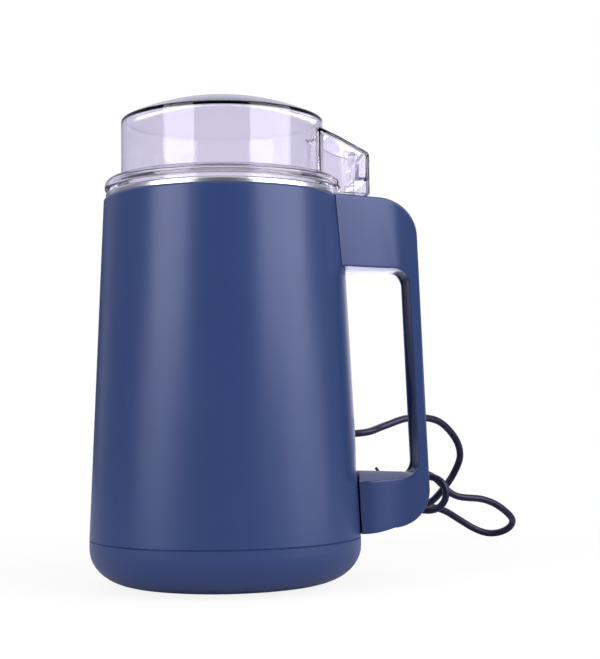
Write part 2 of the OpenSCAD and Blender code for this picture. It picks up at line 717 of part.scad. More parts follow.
// Point of a handle section: u runs from the outer row towards the parting row, y across
function section_point(row, u, y) = let (p = row[0] + unit(row[1] - row[0]) * u) [p[0], y, p[1]];
function width_at(row, u) = mix(half_w(row[0]), half_w(row[1]), u / norm(row[1] - row[0]));
function corner_points(row, depth, r) = let (c = width_at(row, depth + r) - depth - r)
    [for (a = [0:30:90]) [depth + r - r * sin(a), c + r * cos(a)]];
function channel_line(row, depth, r) =
    let (l = norm(row[1] - row[0]), k = corner_points(row, depth, r), w = half_w(row[1]) - depth)
    concat([[l, w]], k, [for (i = [3:-1:0]) [k[i][0], -k[i][1]]], [[l, -w]]);
function channel_section(row) =
    let (o = channel_line(row, 0, edge_round), n = channel_line(row, handle_wall, channel_round))
    concat([for (p = o) section_point(row, p[0], p[1])],
        [for (i = [9:-1:0]) section_point(row, n[i][0], n[i][1])]);

// Rests inside the shell's walls that carry the switch's holder
rest_l = 5;
rest_w = 4;
rest_h = 3;
rest_y = half_w([plunger_x + 4, handle_top_z]) - handle_wall;
boss_wall_y = half_w([handle_boss_x, handle_screw_z]) - handle_wall / 2;
module handle_shell() {
    color(navy) difference() {
        union() {
            skin([for (row = handle_rows) channel_section(row)],
                 [for (k = [0:8]) each [[k, k + 1, 18 - k], [k, 18 - k, 19 - k]]]);
            handle_screw_places(root_x) cylinder(r = handle_boss_r, h = handle_boss_x - root_x);
            for (side = [-1, 1]) translate([handle_boss_x - 5, side > 0 ? handle_screw_y : -boss_wall_y,
                handle_screw_z - 1]) cube([4, boss_wall_y - handle_screw_y, 2]);
            translate([low_root_out[0] + 1, -1, low_z - 1]) cube([7, 2, low_screw_z - low_z]);
            for (side = [-1, 1]) translate([plunger_x + 1.5,
                side * (rest_y + 0.8) - (side > 0 ? rest_w : 0), switch_top_z - rest_h])
                cube([rest_l, rest_w, rest_h]);
        }
        body_cone(handle_fit);
        handle_screw_places(root_x) cylinder(r = screw_r + seat_fit, h = handle_boss_x - root_x - 1.5);
        translate([plunger_x, 0, handle_top_z - 2 * handle_wall])
            cylinder(r = plunger_r + run_fit, h = 3 * handle_wall);
    }
}

function cover_section(row) =
    let (l = norm(row[1] - row[0]), w = half_w(row[1]), t = w - handle_wall - 0.2)
    concat([for (i = [0:8]) let (a = 180 * i / 8) section_point(row,
            l + row[2] * pow(sin(a), 0.8), w * sign(cos(a)) * pow(abs(cos(a)), 0.8))],
        [for (p = [[l, -t], [l - tongue, -t], [l - tongue, t], [l, t]]) section_point(row, p[0], p[1])]);

module handle_inner_cover() {
    color(navy) difference() {
        skin([for (row = handle_rows) cover_section(row)],
             [[4, 5, 6], [4, 6, 7], [4, 7, 8], [4, 8, 9], [4, 9, 12], [4, 12, 0], [4, 0, 1], [4, 1, 2],
              [4, 2, 3], [9, 10, 11], [9, 11, 12]]);
        body_cone(handle_fit);
    }
}

module switch_plunger() {
    color(black) translate([plunger_x, 0, 0]) {
        translate([0, 0, spring_top_z]) cylinder(r = plunger_collar_r, h = plunger_collar_h);
        translate([0, 0, spring_top_z]) cylinder(r = plunger_r, h = plunger_top_z - spring_top_z);
        translate([0, 0, stem_z]) cylinder(r = stem_r, h = spring_top_z - stem_z + overcut);
    }
}

module plunger_spring() {
    color(steel) translate([plunger_x, 0, spring_z]) helix(stem_r + 0.7, 0.4, 4, spring_h);
}

module switch_holder() {
    holder_x = plunger_x - 2.9;
    holder_end_x = plunger_x + 6;
    holder_w = half_w([holder_end_x, handle_top_z]) - handle_wall - 0.2;
    color(grey) difference() {
        translate([holder_x, -holder_w, switch_top_z])
            cube([holder_end_x - holder_x, 2 * holder_w, holder_t]);
        translate([plunger_x, 0, switch_top_z - overcut])
            cylinder(r = stem_r + run_fit, h = holder_t + 2 * overcut);
    }
}

module microswitch() {
    color(black) difference() {
        union() {
            translate([switch_x, -switch_w / 2, switch_top_z - switch_h])
                cube([switch_l, switch_w, switch_h]);
            for (x = [2.5, switch_l - 3]) translate([switch_x + x, -1.5, switch_top_z - switch_h - 3])
                cube([0.6, 3, 3 + overcut]);
        }
        translate([plunger_x, 0, switch_top_z - 4]) cylinder(r = button_r + run_fit, h = 4 + overcut);
    }
}

module switch_button() {
    color("firebrick") translate([plunger_x, 0, switch_top_z - 2.8])
        cylinder(r = button_r, h = 2.8 + button_proud);
}

module motor_dampers() {
    color(rubber) carrier_places() translate([0, 0, up_plate_top_z]) difference() {
        cylinder(r = damper_r, h = damper_h);
        translate([0, 0, -overcut]) cylinder(r = screw_r + 0.2, h = damper_h + 2 * overcut);
    }
}

module motor_screws() {
    color(steel) carrier_places() translate([0, 0, up_plate_z]) screw(bracket_t + damper_h + 6);
}

// Bracket plate across the motor: a bar along X, a bar along Y and the bush housing
module bracket_outline() {
    circle(r = housing_r);
    square([2 * damper_x, 2 * damper_r], center = true);
    square([2 * leg_r, 2 * bolt_y], center = true);
    for (side = [-1, 1]) {
        translate([side * damper_x, 0]) circle(r = damper_r);
        translate([0, side * bolt_y]) circle(r = leg_r);
    }
}
module bolt_places() {
    for (side = [-1, 1]) translate([0, side * bolt_y, 0]) children();
}

module upper_bracket() {
    color(grey) difference() {
        union() {
            translate([0, 0, up_plate_z]) linear_extrude(bracket_t) bracket_outline();
            translate([0, 0, up_plate_z]) cylinder(r = housing_r, h = bush_h);
            bolt_places() translate([0, 0, stack_top_z])
                cylinder(r = leg_r - 1.2, h = up_plate_z - stack_top_z + overcut);
        }
        translate([0, 0, up_plate_z - overcut]) cylinder(r = bush_r + seat_fit, h = bush_h + 2 * overcut);
        bolt_places() translate([0, 0, stack_top_z - overcut])
            cylinder(r = bolt_r + 0.1, h = up_plate_top_z - stack_top_z + 2 * overcut);
        carrier_places() translate([0, 0, up_plate_z - overcut])
            cylinder(r = screw_r + 0.2, h = bracket_t + 2 * overcut);
    }
}

module lower_bracket() {
    color(grey) difference() {
        union() {
            translate([0, 0, low_plate_z]) linear_extrude(bracket_t) bracket_outline();
            translate([0, 0, low_plate_z]) cylinder(r = housing_r, h = bush_h);
            bolt_places() translate([0, 0, low_plate_z])
                cylinder(r = leg_r - 1.2, h = stack_z - low_plate_z);
        }
        translate([0, 0, low_plate_z - overcut]) cylinder(r = bush_r + seat_fit, h = bush_h + 2 * overcut);
        bolt_places() translate([0, 0, low_plate_z - overcut])
            cylinder(r = bolt_r + 0.1, h = stack_z - low_plate_z + 2 * overcut);
    }
}

module through_bolts() {
    color(steel) bolt_places() {
        translate([0, 0, low_plate_z]) screw(up_plate_top_z - low_plate_z + 4, bolt_r);
        translate([0, 0, up_plate_top_z]) difference() {
            cylinder(r = 3.6, h = 2.6, $fn = 6);
            translate([0, 0, -overcut]) cylinder(r = bolt_r - 0.2, h = 2.6 + 2 * overcut);
        }
    }
}

// Laminated stator: a ring with two poles, each with a curved shoe
module stator_core() {
    shoe_angle = 58;
    color(steel) translate([0, 0, stack_z]) difference() {
        linear_extrude(stack_h) difference() {
            union() {
                difference() {
                    circle(r = stator_r);
                    circle(r = stator_ring_r);
                }
                square([2 * (stator_ring_r + 1), neck_w], center = true);
                intersection() {
                    circle(r = shoe_r);
                    union() {
                        for (side = [0, 180]) rotate(side) polygon([
                            [0, 0], [2 * shoe_r * cos(shoe_angle), -2 * shoe_r * sin(shoe_angle)],
                            [3 * shoe_r, 0], [2 * shoe_r * cos(shoe_angle), 2 * shoe_r * sin(shoe_angle)]]);
                    }
                }
            }
            circle(r = bore_r);
        }
        bolt_places() translate([0, 0, -overcut]) cylinder(r = bolt_r + 0.1, h = stack_h + 2 * overcut);
    }
}

// Two field coils, each wound round the neck of a pole
module field_coils() {
    coil_angle = 46;
    reach = 2 * stator_r;
    color(copper) for (side = [0, 180]) rotate(side) difference() {
        translate([0, 0, stack_z - turn_h]) linear_extrude(stack_h + 2 * turn_h) difference() {
            intersection() {
                circle(r = stator_ring_r - coil_gap);
                polygon([[0, 0], [reach * cos(coil_angle), -reach * sin(coil_angle)],
                    [reach * cos(coil_angle), reach * sin(coil_angle)]]);
            }
            circle(r = shoe_r + coil_gap);
        }
        translate([0, -neck_w / 2 - coil_gap, stack_z - coil_gap])
            cube([reach, neck_w + 2 * coil_gap, stack_h + 2 * coil_gap]);
    }
}

module bush(z) {
    translate([0, 0, z]) difference() {
        cylinder(r = bush_r, h = bush_h);
        translate([0, 0, -overcut]) cylinder(r = shaft_r + run_fit, h = bush_h + 2 * overcut);
    }
}
module upper_bush() { color(brass) bush(up_plate_z); }
module lower_bush() { color(brass) bush(low_plate_z); }

module motor_shaft() {
    color(steel) {
        translate([0, 0, fan_z]) cylinder(r = shaft_r, h = blade_z - fan_z);
        translate([0, 0, fan_z]) cylinder(r = stud_r, h = stud_top_z - fan_z);
    }
}

// Piece that is pressed on the shaft between two heights
module shaft_hole(z, h, r = shaft_r) {
    translate([0, 0, z - overcut]) cylinder(r = r + seat_fit, h = h + 2 * overcut);
}

slot_w = 3.4;
slot_floor_r = armature_r * 0.56;
slot_top_r = armature_r - 1.2;
slot_mouth = 1.4;
module armature_slots(shrink, mouth) {
    for (k = [0:slot_count - 1]) rotate(360 * k / slot_count) {
        translate([slot_floor_r + shrink, -slot_w / 2 + shrink])
            square([slot_top_r - slot_floor_r - 2 * shrink, slot_w - 2 * shrink]);
        if (mouth) translate([slot_floor_r + 1, -slot_mouth / 2]) square([armature_r, slot_mouth]);
    }
}

module armature_core() {
    color(steel) difference() {
        translate([0, 0, stack_z]) linear_extrude(stack_h) difference() {
            circle(r = armature_r);
            armature_slots(0, true);
        }
        shaft_hole(stack_z, stack_h);
    }
}

module armature_windings() {
    wire_gap = 0.15;
    ring_h = turn_h - wire_gap;
    color(copper) difference() {
        union() {
            translate([0, 0, stack_z - turn_h])
                linear_extrude(stack_h + 2 * turn_h) armature_slots(wire_gap, false);
            for (z = [stack_z - turn_h, stack_top_z + wire_gap]) translate([0, 0, z]) rotate_extrude()
                polygon(concat(
                [[shaft_r + 2, 0]], arc([slot_top_r - 2.5, 1.6], 1.6, -90, 0, 4), arc([slot_top_r - 2.5,
                ring_h - 1.6], 1.6, 0, 90, 4), [[shaft_r + 2, ring_h]]));
        }
        shaft_hole(stack_z - turn_h, stack_h + 2 * turn_h, shaft_r + 1);
    }
}

module commutator() {
    groove_w = 0.6;
    color(copper) difference() {
        translate([0, 0, commutator_z]) cylinder(r = commutator_r, h = commutator_h);
        shaft_hole(commutator_z, commutator_h);
        for (k = [0:slot_count - 1]) rotate(360 * k / slot_count)
            translate([commutator_r - 0.8, -groove_w / 2, commutator_z - overcut])
            cube([2, groove_w, commutator_h + 2 * overcut]);
    }
}

// Brush gear stands on both sides of the commutator
module brush_sides() {
    for (side = [0, 180]) rotate(side) children();
}
module brush_holders() {
    tube_w = brush_w + 2 * (tube_wall + run_fit);
    tube_h = brush_h + 2 * (tube_wall + run_fit);
    color(brass) brush_sides() difference() {
        union() {
            translate([tube_start_x, -tube_w / 2, brush_z - tube_h / 2])
                cube([tube_end_x - tube_start_x, tube_w, tube_h]);
            translate([tube_start_x + 4, -tube_w / 2, low_plate_top_z])
                cube([8, tube_w, brush_z - low_plate_top_z]);
        }
        translate([tube_start_x - overcut, -brush_w / 2 - run_fit, brush_z - brush_h / 2 - run_fit])
            cube([tube_end_x - tube_wall - tube_start_x + overcut, brush_w + 2 * run_fit,
                brush_h + 2 * run_fit]);
        translate([0, 0, low_plate_z]) cylinder(r = housing_r + 0.3, h = bush_h + 0.3);
    }
}

module carbon_brushes() {
    color(black) brush_sides() difference() {
        translate([commutator_r - 2, -brush_w / 2, brush_z - brush_h / 2])
            cube([brush_l + 2, brush_w, brush_h]);
        translate([0, 0, commutator_z]) cylinder(r = commutator_r + run_fit, h = commutator_h);
    }
}

module brush_springs() {
    color(steel) brush_sides() translate([commutator_r + brush_l, 0, brush_z]) rotate([0, 90, 0])
        helix(1.9, 0.3, 4, brush_spring_l);
}

module cooling_fan() {
    hub_r = shaft_r + 3.5;
    disc_t = 1.6;
    vane_t = 1.4;
    color(black) difference() {
        union() {
            translate([0, 0, fan_z]) cylinder(r = hub_r, h = fan_h);
            translate([0, 0, fan_z + fan_h - disc_t]) cylinder(d = fan_d, h = disc_t);
            for (k = [0:fan_count - 1]) rotate(360 * k / fan_count)
                translate([hub_r - 0.5, 1, fan_z]) rotate(12)
                cube([fan_d / 2 - hub_r - 1, vane_t, fan_h]);
        }
        shaft_hole(fan_z, fan_h);
    }
}

module blade_collar() {
    color(brass) difference() {
        translate([0, 0, collar_z]) cylinder(r = shaft_r + 3, h = blade_z - collar_z);
        shaft_hole(collar_z, blade_z - collar_z);
    }
}

// Two-wing blade with its tips bent up
module blade() {
    hub_r = 9;
    wing_w = 6;
    bend_r = blade_r * 0.74;
    tip_l = (blade_r - bend_r) / cos(blade_bend);
    color(steel) difference() {
        union() {
            translate([0, 0, blade_z]) cylinder(r = hub_r, h = blade_t);
            for (side = [0, 180]) rotate(side) {
                translate([0, 0, blade_z]) linear_extrude(blade_t)
                    polygon([[0, -wing_w], [bend_r, -wing_w], [bend_r, wing_w - 2], [0, wing_w]]);
                translate([bend_r - 0.3, 0, blade_z]) rotate([0, -blade_bend, 0]) linear_extrude(blade_t)
                    polygon([[0, -wing_w], [tip_l, -wing_w / 2], [tip_l, wing_w / 2], [0, wing_w - 2]]);
            }
        }
        shaft_hole(blade_z, blade_t, stud_r);
    }
}

module blade_nut() {
    across = 5.6;
    z = blade_z + blade_t;
    color(steel) difference() {
        union() {
            translate([0, 0, z]) cylinder(r = across, h = nut_h, $fn = 6);
            translate([0, 0, z + nut_h - 1.5]) intersection() {
                sphere(r = across * 0.86);
                cylinder(r = across, h = across);
            }
        }
        translate([0, 0, z - overcut]) cylinder(r = stud_r + seat_fit, h = nut_h + overcut + 0.3);
    }
}

// Strain relief: a flange on the body, a neck through its wall, a lock ring inside and a ribbed taper
module strain_relief() {
    flange = 7.5;
    tip_r = cord_r + 1.1;
    color(black) translate([0, 0, exit_z]) rotate([-90, 0, 0]) difference() {
        union() {
            difference() {
                translate([0, 0, exit_y - 4]) cylinder(r = flange, h = 6);
                rotate([90, 0, 0]) translate([0, 0, -exit_z]) body_cone(0.1);
            }
            translate([0, 0, exit_y - 6]) cylinder(r = gland_hole_r - seat_fit, h = 7);
            translate([0, 0, exit_y - body_wall - 3.6]) cylinder(r = gland_hole_r + 0.9, h = 3);
            translate([0, 0, exit_y + 1]) cylinder(r1 = gland_hole_r - 0.3, r2 = tip_r, h = relief_l + 1);
            for (k = [0:4]) let (s = (k + 0.6) / 6) translate([0, 0, exit_y + 2 + relief_l * s])
                cylinder(r = mix(gland_hole_r - 0.3, tip_r, s) + 0.5, h = 1.6);
        }
        cylinder(r = cord_r + run_fit, h = relief_end_y + overcut);
    }
}

// Cord inside the strain relief and the body, as far as its wires
lead_end_y = 43;
module inner_lead() {
    color(black) translate([0, lead_end_y, exit_z]) rotate([-90, 0, 0])
        cylinder(r = cord_r, h = relief_end_y - lead_end_y);
}

// Wires from the lead to the switch and to both brush holders
wire_r = 0.8;
module lead_wires() {
    lead_y = lead_end_y - 0.1;
    lane_r = carrier_r - 5;
    hole_x = body_r(wire_hole_z);
    pin_z = switch_top_z - switch_h;
    color("saddlebrown") {
        tube(curve([[1.1, lead_y, exit_z], [1.6, lead_y - 2.5, exit_z], [6, lead_y - 6, exit_z + 2],
            [0.6 * lane_r, 0.76 * lane_r, exit_z + 10], [0.93 * lane_r, 0.35 * lane_r, carrier_z - 16],
            [lane_r, 4.5, carrier_z - 4],
            [lane_r, 3, carrier_top_z + 4], [lane_r, 2, wire_hole_z - 16],
            [lane_r + 0.4, 1.6, wire_hole_z - 6],
            [hole_x - 4, 1.6, wire_hole_z], [hole_x, 1.6, wire_hole_z],
            [switch_x + 1.4, 0.6, pin_z - 2]], 2), wire_r, 6);
        tube(curve([[switch_x + 9, 0, pin_z - 3.9], [switch_x + 3, -1.4, pin_z - 4.4],
            [hole_x - 0.6, -1.6, wire_hole_z - 0.6],
            [hole_x - 5, -1.6, wire_hole_z - 4], [lane_r, -2, wire_hole_z - 16],
            [lane_r, -3, carrier_top_z + 4],
            [lane_r, -4.5, carrier_z - 4], [0.95 * lane_r, -0.28 * lane_r, stack_top_z],
            [0.88 * lane_r, -0.23 * lane_r, stack_z],
            [0.79 * lane_r, -4, brush_z + 3], [tube_end_x + 2, -1, brush_z],
            [tube_end_x + 0.4, -1, brush_z]], 2), wire_r, 6);
        tube(curve([[-1.1, lead_y, exit_z], [-1.6, lead_y - 2.5, exit_z], [-6, lead_y - 6, exit_z - 2],
            [-0.56 * lane_r, 0.79 * lane_r, exit_z - 10], [-0.83 * lane_r, 0.37 * lane_r, brush_z + 6],
            [-0.79 * lane_r, 5, brush_z + 2], [-tube_end_x - 2, 1, brush_z],
            [-tube_end_x - 0.4, 1, brush_z]], 2), wire_r, 6);
    }
}

// Free stretch of the cord, from the strain relief to the coil
function coil_angle_at(t) = coil_start_angle + t;
function coil_radius(t) = let (half = coil_total / 2) coil_r - coil_step / 360 * (half - abs(t - half));
function coil_height(t) = let (half = coil_total / 2) coil_z + coil_step * smooth(min(1, max(0,
    (t - half + 90) / 180)));
function coil_point(t) = [coil_x + coil_radius(t) * cos(coil_angle_at(t)),
    coil_y + coil_radius(t) * sin(coil_angle_at(t)), coil_height(t)];
function coil_out(t) = [-sin(coil_angle_at(t)), cos(coil_angle_at(t)), 0];
coil_start = coil_point(0) - cord_d * coil_out(0);
coil_end = coil_point(coil_total) + coil_tail * coil_out(coil_total);
coil_path = concat([coil_start], [for (t = [0:15:coil_total]) coil_point(t)], [coil_end]);

module power_cord() {
    start = [0, relief_end_y, exit_z];
    lead_in = coil_start - 3 * cord_d * coil_out(0);
    path = concat([start], curve(concat([start + [0, cord_d, 0]], cord_route, [lead_in]), 3), [coil_start]);
    color(black) tube(path, cord_r, 8);
}

module cord_coil() {
    color(black) tube(coil_path, cord_r, 6);
}
coil_turn_points = 24;
coil_least = min([for (i = [0:len(coil_path) - 1],
    k = [i + coil_turn_points / 2:1:len(coil_path) - 1]) norm(coil_path[i] - coil_path[k])]);
echo(coil_least_gap = coil_least - cord_d);

// Tie round the turns of the coil, on the side of the handle
module cord_tie() {
    in_r = coil_r - coil_step * (coil_layer_turns + 0.25) - cord_r - tie_fit;
    out_r = coil_r + cord_r + tie_fit;
    low = coil_z - cord_r - tie_fit;
    high = coil_z + coil_step + cord_r + tie_fit;
    color(grey) translate([coil_x, coil_y, 0]) rotate(tie_angle)
        translate([0, tie_w / 2, 0]) rotate([90, 0, 0]) linear_extrude(tie_w) difference() {
        translate([in_r - tie_t, low - tie_t]) square([out_r - in_r + 2 * tie_t, high - low + 2 * tie_t]);
        translate([in_r, low]) square([out_r - in_r, high - low]);
    }
}
tie_angle = 180;

// Plug: a waisted grip with two round pins and a tapered tail
plug_at = coil_end;
plug_turn = coil_angle_at(coil_total) + 90;
tail_l = 14;
module plug_body() {
    r = 4;
    waist = 2.5;
    color(black) translate(plug_at) rotate(plug_turn) rotate([0, 90, 0]) {
        cylinder(r1 = cord_r + 0.9, r2 = 5, h = tail_l);
        translate([0, 0, tail_l - 0.01]) intersection() {
            translate([0, -plug_w / 2, 0]) rotate([-90, 0, 0]) translate([0, -plug_l, 0])
                linear_extrude(plug_w)
                polygon([[-plug_h / 2, 0], [plug_h / 2, 0], [plug_h / 2, plug_l - r],
                    [plug_h / 2 - r, plug_l], [r - plug_h / 2, plug_l], [-plug_h / 2, plug_l - r]]);
            translate([-plug_h, 0, 0]) rotate([0, 90, 0]) linear_extrude(2 * plug_h) polygon([
                [0, -plug_w / 2 + waist + r], [-r, -plug_w / 2 + waist],
                [-plug_l * 0.55, -plug_w / 2 + waist], [-plug_l * 0.8, -plug_w / 2], [-plug_l, -plug_w / 2],
                [-plug_l, plug_w / 2], [-plug_l * 0.8, plug_w / 2], [-plug_l * 0.55, plug_w / 2 - waist],
                [-r, plug_w / 2 - waist], [0, plug_w / 2 - waist - r]]);
        }
    }
}

module plug_pins() {
    color(brass) translate(plug_at) rotate(plug_turn) for (side = [-1, 1])
        translate([tail_l + plug_l, side * pin_pitch / 2, 0]) rotate([0, 90, 0]) {
        cylinder(d = pin_d, h = pin_l - pin_d / 2);
        translate([0, 0, pin_l - pin_d / 2]) sphere(d = pin_d);
    }
}

body_shell();
base_cover();
foot_ring();
base_screws();
lid();
steel_bowl();
shaft_seal();
bowl_carrier();
carrier_screws();
handle_shell();
handle_inner_cover();
handle_screws();
switch_plunger();
plunger_spring();
switch_holder();
microswitch();
switch_button();
motor_dampers();
motor_screws();
upper_bracket();
lower_bracket();
through_bolts();
stator_core();
field_coils();
upper_bush();
lower_bush();
motor_shaft();
armature_core();
armature_windings();
commutator();
brush_holders();
carbon_brushes();
brush_springs();
cooling_fan();
blade_collar();
blade();
blade_nut();
strain_relief();
inner_lead();
lead_wires();
power_cord();
cord_coil();
cord_tie();
plug_body();
plug_pins();
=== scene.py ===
"""Electric coffee grinder: camera, light, cord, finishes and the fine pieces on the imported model."""
import json
import math

import bmesh
import bpy
from mathutils import Matrix, Vector


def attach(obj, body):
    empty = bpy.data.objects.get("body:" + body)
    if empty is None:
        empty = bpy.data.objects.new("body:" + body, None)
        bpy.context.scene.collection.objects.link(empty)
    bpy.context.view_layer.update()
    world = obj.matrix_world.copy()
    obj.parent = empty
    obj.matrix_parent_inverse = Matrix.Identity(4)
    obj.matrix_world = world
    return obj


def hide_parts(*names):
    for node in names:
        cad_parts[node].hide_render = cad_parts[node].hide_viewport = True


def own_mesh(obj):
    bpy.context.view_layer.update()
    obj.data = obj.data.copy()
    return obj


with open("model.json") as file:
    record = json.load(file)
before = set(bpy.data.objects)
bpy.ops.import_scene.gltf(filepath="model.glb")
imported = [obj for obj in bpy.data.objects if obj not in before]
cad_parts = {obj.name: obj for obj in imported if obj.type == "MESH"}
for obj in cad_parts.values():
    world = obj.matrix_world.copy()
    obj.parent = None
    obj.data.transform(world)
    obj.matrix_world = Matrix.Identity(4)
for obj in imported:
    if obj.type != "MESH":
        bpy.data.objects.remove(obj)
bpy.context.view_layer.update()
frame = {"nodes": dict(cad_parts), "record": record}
nodes = frame["nodes"]
scene = bpy.context.scene
scene.view_settings.view_transform = "Standard"
MM = 0.001

# Camera: its place and tilt in the object's frame, from a fit of the body's outline
CAMERA_AT = (-0.0316, -0.5526, 0.0721)
CAMERA_TURN = math.radians(-6.5)
CAMERA_PITCH = math.radians(3.22)
CAMERA_ROLL = math.radians(-0.68)
FOCAL_PIXELS = 1346.6
IMAGE_HEIGHT = 659
SENSOR = 36
# Edges that turn more than this are drawn sharp
SHARP_ANGLE = math.radians(38)


def place_camera():
    """Puts the camera where the photograph was taken."""
    data = bpy.data.cameras.new("camera")
    data.sensor_fit = "VERTICAL"
    data.sensor_height = SENSOR
    data.lens = FOCAL_PIXELS / IMAGE_HEIGHT * SENSOR
    data.clip_start = 0.01
    camera = bpy.data.objects.new("camera", data)
    turn = Matrix.Rotation(CAMERA_TURN, 3, "Z")
    forward = turn @ Vector((0, math.cos(CAMERA_PITCH), math.sin(CAMERA_PITCH)))
    upright = turn @ Vector((0, -math.sin(CAMERA_PITCH), math.cos(CAMERA_PITCH)))
    level = turn @ Vector((1, 0, 0))
    right = level * math.cos(CAMERA_ROLL) + upright * math.sin(CAMERA_ROLL)
    up = upright * math.cos(CAMERA_ROLL) - level * math.sin(CAMERA_ROLL)
    matrix = Matrix((right, up, -forward)).transposed().to_4x4()
    matrix.translation = CAMERA_AT
    camera.matrix_world = matrix
    scene.collection.objects.link(camera)
    scene.camera = camera


# Cord, in millimetres, as in the part's source
CORD_D = 3.6
CORD_EXIT = (0, 77.3, 57)
CORD_ROUTE = [
    (0, 88, 57), (4, 98, 57), (14, 104, 57), (30, 105, 57), (71, 103.5, 58), (84.5, 110, 61),
    (99, 116.5, 65), (115.5, 125.5, 63.5), (126.5, 133.5, 54.5), (130, 137, 45), (128, 143.5, 35.5),
    (124, 144, 29.5), (120, 143.5, 25), (115.5, 143, 21), (109.5, 142.5, 19.5), (103.5, 141, 22),
    (101, 138, 27), (103, 134, 32), (107.5, 131, 34), (113.5, 129.5, 34.5), (118, 128, 32),
    (120, 127, 27.5), (119, 127.5, 22), (115, 130, 18), (109, 133, 17.5), (105.5, 134.5, 18.5),
    (99, 138, 21), (96.5, 140.5, 26.5), (99, 141.5, 32.5), (106, 139.5, 36.5), (111.5, 137, 36),
    (116.5, 136.5, 33.5), (120.5, 135.5, 29.5), (123.5, 136, 26.5), (128, 137, 24), (134, 138, 23),
    (142, 140.5, 22), (150, 143.5, 19), (156.5, 146, 14.5), (161.5, 152.5, 9.5), (160.5, 157.5, 5),
    (155.5, 160.5, 2.5), (149, 161, 2.5), (141.5, 161, 5.5), (132.5, 159, 11), (123, 155, 16),
    (104, 148, 20), (88, 141, 18), (70, 132, 14), (50, 124, 8), (28, 120, 4),
]
COIL_AT = (-16, 95)
COIL_R = 23
COIL_STEP = CORD_D + 0.6
COIL_TURNS = 4.5
COIL_TAIL = 14
COIL_FLOOR = CORD_D / 2 + 0.9
COIL_START_ANGLE = 90
COIL_RISE_ANGLE = 180
COIL_DEGREES = 6
CURVE_STEPS = 8
EVEN_STEP = 2
FAIR_ROUNDS = 8
FAIR_PULLS = (0.5, -0.52)


def through(a, b, c, d, s):
    """Point between b and c of a smooth curve through four points."""
    square = 2 * a - 5 * b + 4 * c - d
    cube = 3 * b - a - 3 * c + d
    return 0.5 * (2 * b + (c - a) * s + square * s ** 2 + cube * s ** 3)


def smooth_curve(points, steps):
    """Points of a smooth curve through the given ones."""
    points = [Vector(p) for p in points]
    last = len(points) - 1
    line = [
        through(points[max(i - 1, 0)], points[i], points[i + 1], points[min(i + 2, last)], k / steps)
        for i in range(last)
        for k in range(steps)
    ]
    return line + [points[last]]


def evened(line, step):
    """Points at even steps along a line."""
    even = [line[0]]
    left = step
    for a, b in zip(line, line[1:]):
        run = (b - a).length
        while left <= run:
            even.append(a + (b - a) * left / run)
            left += step
        left -= run
    even[-1] = line[-1]
    return even


def faired(line, rounds):
    """Line with its kinks taken out: each round pulls points to their neighbours, then swells back."""
    for pull in FAIR_PULLS * rounds:
        inner = [p + ((a + b) / 2 - p) * pull for a, p, b in zip(line, line[1:], line[2:])]
        line = [line[0], *inner, line[-1]]
    return line


def ease(s):
    """Smooth step from 0 to 1."""
    s = min(1, max(0, s))
    return s * s * (3 - 2 * s)


def mix(a, b, s):
    """Value or point between two."""
    return a + (b - a) * s


def coil_point(angle):
    """Point of the coil after turning by an angle: in along the floor, up a layer and out again."""
    half = 180 * COIL_TURNS
    radius = COIL_R - COIL_STEP / 360 * (half - abs(angle - half))
    height = COIL_FLOOR + COIL_STEP * ease((angle - half + COIL_RISE_ANGLE / 2) / COIL_RISE_ANGLE)
    way = math.radians(COIL_START_ANGLE + angle)
    return Vector((COIL_AT[0] + radius * math.cos(way), COIL_AT[1] + radius * math.sin(way), height))


def coil_heading(angle):
    """Direction of the coil's line after turning by an angle."""
    way = math.radians(COIL_START_ANGLE + angle)
    return Vector((-math.sin(way), math.cos(way), 0))


def cord_line():
    """The cord's whole centreline, from the strain relief to the plug."""
    leaves = Vector(CORD_EXIT)
    start = coil_point(0) - CORD_D * coil_heading(0)
    lead_in = start - 3 * CORD_D * coil_heading(0)
    free = smooth_curve([leaves + Vector((0, CORD_D, 0)), *CORD_ROUTE, lead_in], CURVE_STEPS)
    line = [leaves, *faired(evened(free, EVEN_STEP), FAIR_ROUNDS), start]
    wound = 360 * COIL_TURNS
    line += [coil_point(angle) for angle in range(0, int(wound) + 1, COIL_DEGREES)]
    line.append(coil_point(wound) + COIL_TAIL * coil_heading(wound))
    return [p * MM for p in line]


def lay_cord():
    """The cord as one round line on the housing, in place of the part's cord and coil."""
    line = cord_line()
    data = bpy.data.curves.new("power_lead", "CURVE")
    data.dimensions = "3D"
    data.bevel_depth = 1
    data.bevel_resolution = 5
    spline = data.splines.new("POLY")
    spline.points.add(len(line) - 1)
    for point, place in zip(spline.points, line):
        point.co = (*place, 1)
        point.radius = CORD_D / 2 * MM
    spline.use_smooth = True
    lead = bpy.data.objects.new("power_lead", data)
    scene.collection.objects.link(lead)
    length = sum((b - a).length for a, b in zip(line, line[1:]))
    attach(lead, "housing")
    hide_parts("power_cord", "cord_coil")
    return lead


def form(name, fill):
    """New object from a filled bmesh, in millimetres."""
    bm = bmesh.new()
    fill(bm)
    bmesh.ops.scale(bm, vec=(MM, MM, MM), verts=bm.verts)
    bmesh.ops.recalc_face_normals(bm, faces=bm.faces)
    mesh = bpy.data.meshes.new(name)
    bm.to_mesh(mesh)
    bm.free()
    made = bpy.data.objects.new(name, mesh)
    scene.collection.objects.link(made)
    return made


def combine(piece, fill, operation):
    """Joins a form to a piece, or cuts it away."""
    tool = form("tool", fill)
    step = piece.modifiers.new("tool", "BOOLEAN")
    step.operation = operation
    step.solver = "EXACT"
    step.object = tool
    seen = piece.evaluated_get(bpy.context.evaluated_depsgraph_get())
    mesh = bpy.data.meshes.new_from_object(seen)
    piece.modifiers.clear()
    piece.data = mesh
    bpy.data.objects.remove(tool)


